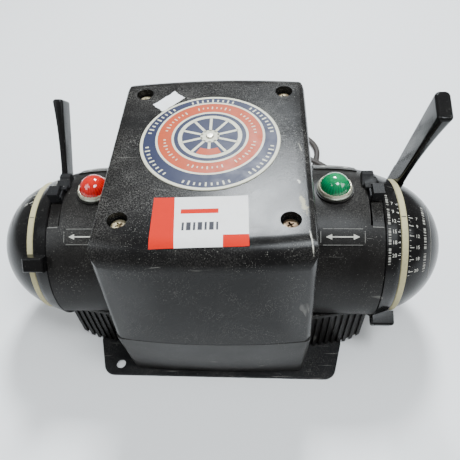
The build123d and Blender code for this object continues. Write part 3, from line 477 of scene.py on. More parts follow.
class Finishes:
    """Every finish of the controller, each made into a material once."""

    catalogue = (
        Bakelite(
            "cover_bakelite", dust=0.62, gloss=0.84, specks=0.62, scratched=0.6, wear_and_sheen=(
                # These four patches are pale and yellowish streaks along the right top edge: wear,
                # and painted highlight of the rounded edge.
                Rub((48.3, -37.2, 138.0), (1.9, 8.6, 4.0), 11.2, (0.34, 0.30, 0.15), 0.75),
                Rub((50.9, -58.5, 134.0), (0.55, 9.0, 9.0), 8.6, (0.62, 0.60, 0.52)),
                Rub((46.9, -21.5, 138.0), (0.9, 2.2, 3.0), 20.0, (0.55, 0.53, 0.46)),
                Rub((48.9, 4.0, 138.0), (0.5, 5.0, 3.0), 12.0, (0.30, 0.29, 0.25), 0.6),
            ),
        ),
        Bakelite("wing_bakelite", black=(0.0055, 0.0050, 0.0047), dust=0.42, specks=0.4),
        Bakelite("casing_bakelite", black=(0.0055, 0.0050, 0.0047), dust=0.75, scratched=0.6),
        Bakelite("knob_bakelite", dust=0.10, gloss=0.86, specks=0.14, scratched=0.5),
        Bakelite("key_bakelite", black=(0.007, 0.007, 0.0075), dust=0.25, gloss=0.72, specks=0.2),
        Bakelite(
            "plate_enamel", black=(0.006, 0.006, 0.0065), dust=0.4, gloss=0.74, specks=0.3,
            scratched=0.9,
        ),
        Metal("screw_brass", (0.66, 0.56, 0.36), (0.19, 0.13, 0.07), 0.5, 0.36),
        Metal(
            "cover_screw_brass", (0.50, 0.44, 0.29), (0.15, 0.10, 0.06), 0.55, 0.42, 0.8,
            wear_and_sheen=(Rub((42.0, -47.2, 132.5), (9.0, 9.0, 9.0), 0.0, (0.090, 0.052, 0.030), 0.9),),
        ),
        Metal("nickel_plate", (0.66, 0.63, 0.54), (0.22, 0.20, 0.14), 0.4, 0.28),
        Metal("bezel_cream", (0.70, 0.66, 0.50), (0.30, 0.26, 0.16), 0.35, 0.30, 0.55),
        Metal("bezel_base", (0.42, 0.43, 0.36), (0.15, 0.15, 0.11), 0.5, 0.42, 0.7),
        Metal("zinc_steel", (0.55, 0.55, 0.55), (0.20, 0.17, 0.13), 0.4, 0.38),
        Metal("spring_steel", (0.40, 0.40, 0.42), (0.12, 0.10, 0.09), 0.3, 0.30),
        Enamel("ring_cream", (0.50, 0.45, 0.25), (0.12, 0.10, 0.07), 0.25, 0.45),
        Enamel("plate_navy", (0.004, 0.009, 0.045), (0.45, 0.43, 0.38)),
        Enamel("plate_cream", (0.66, 0.64, 0.50), (0.30, 0.26, 0.20)),
        Enamel("plate_orange", (0.46, 0.052, 0.001), (0.60, 0.50, 0.40)),
        Enamel("dial_white", (0.60, 0.58, 0.52), (0.05, 0.05, 0.05), 0.9, 0.5),
        Enamel("faint_white", (0.30, 0.29, 0.26), (0.03, 0.03, 0.03), 1.2, 0.6),
        # Painted highlight: the pale lines along the pads' edges and at the foot of the key's step.
        Enamel("rubbed_edge", (0.20, 0.195, 0.18), (0.02, 0.02, 0.02), 1.6, 0.6),
        Paper("label_white", (0.82, 0.81, 0.79)),
        Paper("label_red", (0.56, 0.014, 0.003)),
        Paper("label_ink", (0.05, 0.05, 0.06)),
        Paper("tag_white", (0.86, 0.86, 0.86)),
        Jewel("jewel_red", (0.62, 0.010, 0.006), (0.16, 0.001, 0.001)),
        Jewel("jewel_green", (0.001, 0.25, 0.085), (0.0, 0.045, 0.018)),
        Rubber("lead_rubber", (0.012, 0.007, 0.0045), (0.030, 0.019, 0.013)),
        Rubber("plug_rubber", (0.020, 0.017, 0.016), (0.05, 0.04, 0.035), 0.48),
        Rubber("board_phenolic", (0.085, 0.035, 0.016), (0.16, 0.075, 0.035), 0.42),
        Rubber("roller_carbon", (0.018, 0.018, 0.020), (0.05, 0.05, 0.055), 0.4),
        Layered("core_steel", (0.30, 0.30, 0.33), (0.03, 0.028, 0.03), 0.0009),
        Layered("copper_turns", (0.62, 0.26, 0.10), (0.10, 0.03, 0.01), 0.0011, "Z"),
    )
    made: dict[str, bpy.types.Material] = {}

    @classmethod
    def get(cls, name: str) -> bpy.types.Material:
        """Find a finish, and make its material at the first call.

        Args:
            name: the finish's name.

        Returns:
            Its material.
        """
        if name not in cls.made:
            finish = next(f for f in cls.catalogue if f.name == name)
            cls.made[name] = finish.material()
        return cls.made[name]


# ---------------------------------------------------------------- shared making steps
def linked(name: str, data: bpy.types.ID) -> bpy.types.Object:
    """Put a new object into the scene.

    Args:
        name: the object's name.
        data: the mesh, light or camera that it holds.

    Returns:
        The object.
    """
    made = bpy.data.objects.new(name, data)
    bpy.context.scene.collection.objects.link(made)
    return made


def outlined(curve: bpy.types.Curve) -> bpy.types.Mesh:
    """Turn a curve into a mesh.

    Args:
        curve: the curve, which is removed.

    Returns:
        The mesh.
    """
    holder = bpy.data.objects.new(curve.name, curve)
    mesh = bpy.data.meshes.new_from_object(holder)
    bpy.data.objects.remove(holder)
    bpy.data.curves.remove(curve)
    return mesh


def inked(bm: bmesh.types.BMesh, known: set, finish: int) -> None:
    """Give the faces made since a moment their finish.

    Args:
        bm: the mesh.
        known: the faces that it had at that moment.
        finish: index of the finish among the piece's own.
    """
    for face in set(bm.faces) - known:
        face.material_index = finish


def thickened(bm: bmesh.types.BMesh, faces: list, height: float) -> list:
    """Extrude faces straight upwards, with the old ones kept as the underside.

    Args:
        bm: the mesh.
        faces: the faces.
        height: the thickness.

    Returns:
        The new vertices.
    """
    raised = bmesh.ops.extrude_face_region(bm, geom=faces, use_keep_orig=True)["geom"]
    top = [g for g in raised if isinstance(g, bmesh.types.BMVert)]
    bmesh.ops.translate(bm, vec=(0, 0, height), verts=top)
    return top


def shaded(piece: bpy.types.Object, split: float = 32.0) -> None:
    """Shade a piece smoothly, with its edges kept sharp past an angle.

    Args:
        piece: the object.
        split: the angle in degrees past which an edge stays sharp.
    """
    for face in piece.data.polygons:
        face.use_smooth = True
    keep = piece.modifiers.new("sharp edges", "EDGE_SPLIT")
    keep.split_angle = radians(split)


def shown(
    bm: bmesh.types.BMesh, name: str, body: str, slot: str, finishes: list[str],
    *stands_for: str, split: float = 32.0,
) -> bpy.types.Object:
    """Turn a bmesh into a shown piece that rides on a body.

    Args:
        bm: the shape, which is freed.
        name: the piece's name.
        body: the body it rides on.
        slot: the record's material slot; not used.
        finishes: names of its finishes, in the order of the faces' material indices.
        *stands_for: the frame's nodes that it replaces.
        split: the angle in degrees past which an edge stays sharp.

    Returns:
        The new object.
    """
    bmesh.ops.remove_doubles(bm, verts=bm.verts, dist=0.000001)
    bmesh.ops.recalc_face_normals(bm, faces=bm.faces)
    mesh = bpy.data.meshes.new(name)
    bm.to_mesh(mesh)
    bm.free()
    piece = linked(name, mesh)
    for finish in finishes:
        mesh.materials.append(Finishes.get(finish))
    shaded(piece, split)
    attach(piece, body)
    if stands_for:
        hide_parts(*stands_for)
    log.info("%s rides on %s", name, body)
    return piece


def turned(
    bm: bmesh.types.BMesh, profile: list[tuple[float, float]], centre: Vector, steps: int
) -> list:
    """Spin an upright profile of (radius, height) points about Z through centre.

    Args:
        bm: the mesh it is added to.
        profile: radii and heights, in metres, heights from the centre.
        centre: a point on the axis.
        steps: number of facets round.

    Returns:
        The new vertices.
    """
    before = set(bm.verts)
    dots = [bm.verts.new(centre + Vector((r, 0, z))) for r, z in profile]
    edges = [bm.edges.new(pair) for pair in zip(dots, dots[1:])]
    bmesh.ops.spin(
        bm, geom=dots + edges, cent=centre, axis=(0, 0, 1), angle=2 * pi, steps=steps,
        use_merge=True,
    )
    bmesh.ops.remove_doubles(bm, verts=[v for v in bm.verts if v not in before], dist=0.000001)
    return [v for v in bm.verts if v not in before]


@dataclass
class Barrel:
    """A surface of revolution about a line along X, for laying flat shapes round it.

    Attributes:
        radius: its radius at a distance from the middle of the object.
        skin: the real surface, where it isn't round all over.
        lift: how far above the surface a shape lies.
        clear: how far above the radius the real surface is looked for.
    """

    radius: Callable[[float], float]
    skin: Optional[BVHTree] = None
    lift: float = 0.05 * MM
    clear: float = 20 * MM

    def lay(self, bm: bmesh.types.BMesh, verts: list, x: float, angle: float) -> None:
        """Move flat vertices onto the surface.

        Args:
            bm: the mesh that holds them; not used.
            verts: vertices whose local x runs along X and local y upwards round the barrel.
            x: where their origin goes along X.
            angle: where it goes round the barrel, in degrees.
        """
        for v in verts:
            along = x + v.co.x
            r = self.radius(abs(along))
            turn = radians(angle) + v.co.y / r
            outwards = Vector((0, -cos(turn), sin(turn)))
            axis = Vector((along, 0, SHAFT_Z))
            if self.skin:
                hit = self.skin.ray_cast(axis + outwards * (r + self.clear), -outwards)[0]
                r = (hit - axis).length if hit else r
            v.co = axis + outwards * (r + self.lift + v.co.z)


def bar(
    bm: bmesh.types.BMesh, length: float, width: float, height: float, pieces: int = 4,
    columns: int = 1,
) -> list:
    """Add a thin flat bar, centred, split into strips so that it can be bent.

    Args:
        bm: the mesh it is added to.
        length: size along x.
        width: size along y.
        height: thickness, upwards from 0.
        pieces: how many strips across.
        columns: how many strips along.

    Returns:
        The new vertices.
    """
    made = bmesh.ops.create_grid(bm, x_segments=columns, y_segments=pieces, size=0.5)["verts"]
    bmesh.ops.scale(bm, vec=(length, width, 1), verts=made)
    faces = list(dict.fromkeys(f for v in made for f in v.link_faces))
    return made + thickened(bm, faces, height)


def glyph(bm: bmesh.types.BMesh, text: str, size: float, height: float) -> list:
    """Add flat figures, centred on the origin, as a thin solid.

    Args:
        bm: the mesh they are added to.
        text: the figures.
        size: the type size.
        height: thickness, upwards from 0.

    Returns:
        The new vertices.
    """
    curve = bpy.data.curves.new("figures", "FONT")
    curve.body, curve.size, curve.align_x, curve.align_y = text, size, "CENTER", "CENTER"
    curve.extrude, curve.resolution_u = height / 2, 3
    mesh = outlined(curve)
    before = set(bm.verts)
    bm.from_mesh(mesh)
    bpy.data.meshes.remove(mesh)
    new = [v for v in bm.verts if v not in before]
    bmesh.ops.translate(bm, vec=(0, 0, height / 2), verts=new)
    return new


# ---------------------------------------------------------------- sub-assemblies
@dataclass
class Casing:
    """The middle casing, the wings and every carried-over part that keeps its own shape."""

    weld: float = 0.01 * MM

    sided: ClassVar[dict[str, tuple[str, ...]]] = {
        "wing_bakelite": ("wing_housing",),
        "knob_bakelite": ("dial_ring", "throttle_lever", "throttle_dome"),
        "key_bakelite": ("direction_key",),
        "ring_cream": ("index_ring",),
        "zinc_steel": ("shaft_bracket", "throttle_shaft", "dial_sleeve", "lamp_socket"),
        "screw_brass": ("throttle_arm", "dial_arm", "contact_tracks"),
        "roller_carbon": ("throttle_roller", "dial_roller"),
        "spring_steel": ("key_spring",),
        "nickel_plate": ("lamp_bulb",),
    }
    single: ClassVar[dict[str, tuple[str, ...]]] = {
        "cover_bakelite": ("top_cover",),
        "casing_bakelite": ("lower_casing",),
        "plate_enamel": ("base_plate",),
        "cover_screw_brass": ("cover_screws",),
        "screw_brass": ("binding_posts", "plug_blades"),
        "nickel_plate": ("nameplate_screw", "thumb_nuts", "case_nuts"),
        "core_steel": ("laminated_core",),
        "copper_turns": ("coil_winding",),
        "board_phenolic": ("coil_bobbin", "terminal_board", "circuit_breaker"),
        "zinc_steel": ("rectifier_stack",),
        "plug_rubber": ("strain_relief", "plug_body"),
    }

    def dress(self) -> None:
        """Give every carried-over node its finish and smooth shading."""
        wanted = {node: finish for finish, nodes in self.single.items() for node in nodes}
        for finish, nodes in self.sided.items():
            wanted.update({f"{side.word}_{node}": finish for side in Side for node in nodes})
        for node, finish in wanted.items():
            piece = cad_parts[node]
            piece.data.materials.clear()
            piece.data.materials.append(Finishes.get(finish))
            join = piece.modifiers.new("joined", "WELD")
            join.merge_threshold = self.weld
            shaded(piece)
            log.info("%s dressed in %s", node, finish)


class Ink(IntEnum):
    """The nameplate's finishes, in the order of its materials."""

    CREAM = 0
    NAVY = 1
    ORANGE = 2


@dataclass(frozen=True)
class Band:
    """A ring of plain marks round the nameplate; lengths in millimetres.

    Attributes:
        radius: from its centre to the middle of a mark.
        count: places round it.
        length: a mark's radial length; each third one is longer by the stretch.
        width: a mark's width.
        period: after how many places the gaps come again.
        gaps: places of a period that stay bare.
    """

    radius: float
    count: int
    length: float
    width: float
    period: int
    gaps: tuple[int, ...]
    stretch: float = 0.9


@dataclass
class Nameplate:
    """The round enamelled plate on the cover, with a plain spoked wheel as its emblem."""

    radius: float = 38.7 * MM
    thickness: float = 0.6 * MM
    chamfer: float = 0.25 * MM
    ink_step: float = 0.02 * MM
    facets: int = 128
    spokes: int = 10
    outer_band: Band = Band(34.6, 72, 1.9, 0.9, 12, (0, 1, 11))
    inner_band: Band = Band(25.2, 60, 1.3, 0.7, 10, (0, 9))

    def build(self) -> bpy.types.Object:
        """Make the plate, its printed rings and its emblem.

        Returns:
            The nameplate.
        """
        low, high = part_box("nameplate")
        centre = Vector(((low.x + high.x) / 2, (low.y + high.y) / 2, low.z))
        bm = bmesh.new()
        body = [(0.0, 0.0), (self.radius, 0.0), (self.radius, self.thickness * 0.7)]
        body += [(self.radius - self.chamfer, self.thickness), (0.0, self.thickness)]
        turned(bm, body, centre, self.facets)
        screw_low, screw_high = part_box("nameplate_screw")
        inner = Vector((centre.x, (screw_low.y + screw_high.y) / 2, centre.z))
        self.disc(bm, centre, 37.0, 1.0, Ink.NAVY)
        self.disc(bm, inner, 30.4, 1.7, Ink.CREAM)
        self.disc(bm, inner, 29.2, 2.4, Ink.ORANGE)
        self.disc(bm, inner, 21.4, 3.1, Ink.CREAM)
        self.disc(bm, inner, 20.1, 3.8, Ink.NAVY)
        self.wheel(bm, inner, 4.5)
        self.ticks(bm, centre, self.outer_band)
        self.ticks(bm, inner, self.inner_band)
        finishes = ["plate_cream", "plate_navy", "plate_orange"]
        return shown(bm, "nameplate_disc", "casing", "nameplate_print", finishes, "nameplate")

    def disc(
        self, bm: bmesh.types.BMesh, centre: Vector, radius: float, level: float, ink: Ink
    ) -> None:
        """Add one printed disc, a hair thicker than the one below it.

        Args:
            bm: the plate's mesh.
            centre: the disc's centre at the plate's foot.
            radius: the disc's radius, in millimetres.
            level: how many ink layers up it lies.
            ink: its finish.
        """
        foot, top = self.thickness * 0.5, self.thickness + level * self.ink_step
        known = set(bm.faces)
        profile = [(0.0, foot), (radius * MM, foot), (radius * MM, top), (0.0, top)]
        turned(bm, profile, centre, self.facets)
        inked(bm, known, ink)

    def swing(self, bm: bmesh.types.BMesh, verts: list, centre: Vector, share: float) -> None:
        """Turn vertices about Z by a share of a turn, and take them to centre."""
        turn = Matrix.Rotation(2 * pi * share, 4, "Z")
        bmesh.ops.transform(bm, matrix=Matrix.Translation(centre) @ turn, verts=verts)

    def wheel(self, bm: bmesh.types.BMesh, centre: Vector, level: float) -> None:
        """Add the emblem: a rim, spokes and a hub in cream, with an orange balance weight.

        Args:
            bm: the plate's mesh.
            centre: the wheel's centre at the plate's foot.
            level: how many ink layers up it lies.
        """
        foot, top = self.thickness * 0.5, self.thickness + level * self.ink_step
        known = set(bm.faces)
        for r0, r1 in ((15.6 * MM, 17.8 * MM), (2.2 * MM, 5.2 * MM)):
            turned(bm, [(r0, foot), (r1, foot), (r1, top), (r0, top), (r0, foot)], centre, 96)
        for i in range(self.spokes):
            spoke = bar(bm, 11.6 * MM, 1.5 * MM, top - foot, 1)
            bmesh.ops.translate(bm, vec=(10.2 * MM, 0, foot), verts=spoke)
            self.swing(bm, spoke, centre, (i + 0.5) / self.spokes)
        inked(bm, known, Ink.CREAM)
        known = set(bm.faces)
        middle = 13.0 * MM
        for v in bar(bm, 5.0 * MM, 12.0 * MM, top + self.ink_step - foot, 8):
            turn = v.co.y / middle - pi / 2
            reach = middle + v.co.x
            v.co = centre + Vector((reach * cos(turn), reach * sin(turn), foot + v.co.z))
        inked(bm, known, Ink.ORANGE)

    def ticks(self, bm: bmesh.types.BMesh, centre: Vector, band: Band) -> None:
        """Add the plain cream marks of one band.

        Args:
            bm: the plate's mesh.
            centre: the band's centre at the plate's foot.
            band: the marks.
        """
        half = 0.5 * self.thickness
        known = set(bm.faces)
        for i in range(band.count):
            if i % band.period in band.gaps:
                continue
            length = band.length + band.stretch * (i % 3 == 0)
            mark = bar(bm, length * MM, band.width * MM, half, 1)
            lift = half + 4 * self.ink_step
            bmesh.ops.translate(bm, vec=(band.radius * MM, 0, lift), verts=mark)
            self.swing(bm, mark, centre, i / band.count)
        inked(bm, known, Ink.CREAM)


class Print(IntEnum):
    """The papers' finishes, in the order of their materials."""

    WHITE = 0
    RED = 1
    INK = 2
    TAG = 3


@dataclass
class Labels:
    """The paper sticker at the front of the cover and the torn tag behind the nameplate.

    Attributes:
        thickness: of either paper.
        lift: how far either lies above the cover.
        centre: the sticker's middle in plan, in millimetres.
        turn: the sticker's turn about Z, in degrees.
        red_edge: where the red left end stops, in millimetres from the middle.
        red_lean: how far that edge leans.
        red_corner: the inner corner of the red patch at the right.
        red_band: the red band's left, right, lower and upper edges.
        bars: the same of the row of ink bars.
        bar_pitch: from one place of a bar to the next.
    """

    thickness: float = 0.14 * MM
    lift: float = 0.05 * MM
    centre: tuple[float, float] = (-1.5, -47.8)
    turn: float = 1.6
    red_edge: float = -12.3
    red_lean: float = 0.05
    red_corner: tuple[float, float] = (11.3, -9.0)
    red_band: tuple[float, float, float, float] = (-9.5, 9.0, 4.5, 7.5)
    bars: tuple[float, float, float, float] = (-8.5, 9.0, -6.0, -1.0)
    bar_pitch: float = 1.1

    def build(self) -> bpy.types.Object:
        """Make both papers as one piece.

        Returns:
            The papers.
        """
        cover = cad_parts["top_cover"]
        skin = BVHTree.FromObject(cover, bpy.context.evaluated_depsgraph_get())
        bm = bmesh.new()
        self.sheet(bm, (47.0, 31.0), self.centre, self.turn, 24)
        self.print_sticker(bm)
        known = set(bm.faces)
        tag = self.sheet(bm, (17.4, 9.2), (-26.6, 46.4), 46, 10)
        for i, v in enumerate(sorted(tag, key=lambda v: (v.co.x, v.co.y))):
            v.co.x += 0.35 * MM * sin(i * 2.1)
            v.co.y += 0.30 * MM * cos(i * 1.7)
        inked(bm, known, Print.TAG)
        above = COVER_TOP + 50 * MM
        for v in bm.verts:
            hit = skin.ray_cast(Vector((v.co.x, v.co.y, above)), Vector((0, 0, -1)))[0]
            v.co.z = hit.z + self.lift + v.co.z
        thickened(bm, bm.faces[:], self.thickness)
        finishes = ["label_white", "label_red", "label_ink", "tag_white"]
        return shown(bm, "paper_stickers", "casing", "paper", finishes, "paper_labels", split=60)

    def sheet(
        self, bm: bmesh.types.BMesh, size: tuple[float, float], centre: tuple[float, float],
        turn: float, cells: int,
    ) -> list:
        """Add a flat sheet with slightly raised corners.

        Args:
            bm: the mesh it is added to.
            size: its width and depth, in millimetres.
            centre: its middle in plan, in millimetres.
            turn: its turn about Z, in degrees.
            cells: number of cells each way.

        Returns:
            The new vertices, their z the height above the cover.
        """
        made = bmesh.ops.create_grid(bm, x_segments=cells, y_segments=cells, size=0.5)["verts"]
        for v in made:
            corner = abs(v.co.x * 2) ** 6 * abs(v.co.y * 2) ** 6
            v.co.z = 0.45 * MM * corner * (0.4 + 0.6 * (v.co.x > 0))
        bmesh.ops.scale(bm, vec=(size[0] * MM, size[1] * MM, 1), verts=made)
        spun = Matrix.Rotation(radians(turn), 4, "Z")
        there = Matrix.Translation(Vector((*centre, 0)) * MM)
        bmesh.ops.transform(bm, matrix=there @ spun, verts=made)
        return made

    def print_sticker(self, bm: bmesh.types.BMesh) -> None:
        """Cut the sticker along its printed areas and colour them.

        Args:
            bm: the mesh, which holds only the sticker so far.
        """
        turn = Matrix.Rotation(radians(self.turn), 3, "Z")
        middle = Vector((*self.centre, 0)) * MM
        band_x0, band_x1, band_y0, band_y1 = self.red_band
        bars_x0, bars_x1, bars_y0, bars_y1 = self.bars
        corner_x, corner_y = self.red_corner
        stripes = [bars_x0 + self.bar_pitch * i for i in range(16)]
        cuts = [(self.red_edge, 0, (1, self.red_lean, 0))]
        cuts += [(x, 0, (1, 0, 0)) for x in (corner_x, band_x0, band_x1, *stripes)]
        cuts += [(0, y, (0, 1, 0)) for y in (corner_y, band_y1, band_y0, bars_y1, bars_y0)]
        for x, y, across in cuts:
            geometry = bm.verts[:] + bm.edges[:] + bm.faces[:]
            spot = middle + turn @ (Vector((x, y, 0)) * MM)
            bmesh.ops.bisect_plane(bm, geom=geometry, plane_co=spot, plane_no=turn @ Vector(across))
        back = turn.inverted()
        for face in bm.faces:
            x, y, _ = (back @ (face.calc_center_median() - middle)) / MM
            left_end = x < self.red_edge - self.red_lean * y
            corner = x > corner_x and y < corner_y
            band = band_x0 < x < band_x1 and band_y0 < y < band_y1
            place = int((x - bars_x0) / self.bar_pitch) % 5
            stroke = bars_x0 < x < bars_x1 and bars_y0 < y < bars_y1 and place in (0, 2, 3)
            if left_end or corner or band:
                face.material_index = Print.RED
            else:
                face.material_index = Print.INK if stroke else Print.WHITE


@dataclass
class Lamp:
    """A jewel lamp on a wing: the fluted bezel and the jewel."""

    side: Side
    flutes: int = 30
    rings: int = 12
    seat: float = 1.2 * MM
    skirt: float = 3.5 * MM

    def build(self) -> None:
        """Make the bezel and the jewel over the frame's own."""
        word = self.side.word
        low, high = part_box(f"{word}_jewel_bezel")
        centre = Vector(((low.x + high.x) / 2, (low.y + high.y) / 2, low.z))
        self.bezel(centre, (high.x - low.x) / 2, word)
        foot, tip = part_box(f"{word}_jewel_lens")
        self.jewel(centre, (tip.x - foot.x) / 2, tip.z - low.z, word)

    def ripple(self, arm: Vector) -> float:
        """Return the flutes' wave, from 0 to 1, in the direction of an arm from the axis."""
        return 0.5 + 0.5 * cos(self.flutes * arm.xy.angle_signed(Vector((1, 0)), 0.0))

    def bezel(self, centre: Vector, radius: float, word: str) -> bpy.types.Object:
        """Make the stepped ring with a crimped inner lip.

        Args:
            centre: the lamp's axis at the ring's foot.
            radius: the ring's radius.
            word: the side's prefix.

        Returns:
            The bezel.
        """
        bm = bmesh.new()
        r, t = radius, MM
        base = [
            (r - 1.8 * t, 0.0), (r - 0.3 * t, 0.0), (r, 0.35 * t), (r, 0.9 * t),
            (r - 0.3 * t, 1.25 * t), (r - 0.75 * t, 1.35 * t),
        ]
        turned(bm, base, centre, 96)
        inked(bm, set(), 1)
        bead = [
            (r - 0.75 * t, 1.30 * t), (r - 0.55 * t, 1.7 * t), (r - 0.6 * t, 2.3 * t),
            (r - 0.95 * t, 2.85 * t), (r - 1.25 * t, 2.8 * t), (r - 1.42 * t, 2.2 * t),
            (r - 1.5 * t, 1.4 * t), (r - 1.8 * t, 0.0),
        ]
        known = set(bm.faces)
        for v in turned(bm, bead, centre, self.flutes * 6):
            arm = Vector((v.co.x - centre.x, v.co.y - centre.y, 0))
            if r - 1.45 * t < arm.length < r - 0.8 * t:
                wave = self.ripple(arm)
                v.co -= arm.normalized() * (0.30 * t * wave)
                v.co.z += 0.12 * t * wave
        inked(bm, known, 0)
        return shown(
            bm, f"{word}_lamp_bezel", "casing", "nickel_bezel", ["bezel_cream", "bezel_base"],
            f"{word}_jewel_bezel", split=50,
        )

    def jewel(self, centre: Vector, radius: float, height: float, word: str) -> bpy.types.Object:
        """Make the domed jewel with shallow flutes and a skirt inside the bezel.

        Args:
            centre: the lamp's axis at the bezel's foot.
            radius: the jewel's radius.
            height: its tip, above the bezel's foot.
            word: the side's prefix.

        Returns:
            The jewel.
        """
        bm = bmesh.new()
        rise, neck = height - self.seat, radius - 1.15 * MM
        angles = [pi / 2 * i / self.rings for i in range(self.rings)]
        dome = [(radius * cos(a), self.seat + rise * sin(a)) for a in angles]
        skirt = [(radius - 3.6 * MM, -self.skirt), (neck, -self.skirt), (neck, self.seat)]
        verts = turned(bm, skirt + dome + [(0.0, height)], centre, self.flutes * 6)
        # UV x carries the flutes' wave, fading towards the tip, as the mask for the jewel's painted
        # shade.
        layer = bm.loops.layers.uv.new("flutes")
        for face in bm.faces:
            for loop in face.loops:
                arm = loop.vert.co - centre
                level = min(1.0, max(0.0, arm.z / height))
                loop[layer].uv = (self.ripple(arm) * (1 - level**3), level)
        for v in verts:
            arm = Vector((v.co.x - centre.x, v.co.y - centre.y, 0))
            level = (v.co.z - centre.z) / height
            if arm.length > 0.5 * MM and 0.12 < level < 0.97:
                v.co -= arm.normalized() * (0.16 * MM * self.ripple(arm) * (1 - level))
        colour = "red" if self.side is Side.LEFT else "green"
        return shown(
            bm, f"{word}_lamp_jewel", "casing", f"{colour}_jewel", [f"jewel_{colour}"],
            f"{word}_jewel_lens", split=75,
        )


@dataclass(frozen=True)
class Scale:
    """The marks printed on one turning surface; lengths in millimetres, angles in degrees.

    Attributes:
        name: what it is printed on.
        body: the body that it turns with.
        volts: the angle of each figure.
        left_turn: how much further round the left wing's scale lies.
        stroke: a figure's stroke: its place along X, length and width.
        figure: a figure's place along X and its type size.
        tick: a tick's place along X, length and width.
        ticks: the first tick's angle, the step and the number of ticks.
        dash: a faint dash's place along X and its length.
        dashes: the first dash's angle, the step and the number of dashes.
        word: dashes from one gap to the next.
        rule: the faint line beyond them: its place along X, width, length and middle.
    """

    name: str
    body: str
    volts: dict[int, float]
    left_turn: float
    stroke: tuple[float, float, float]
    figure: tuple[float, float]
    tick: tuple[float, float, float]
    ticks: tuple[float, float, int]
    dash: tuple[float, float]
    dashes: tuple[float, float, int]
    word: int
    rule: Optional[tuple[float, float, float, float]] = None


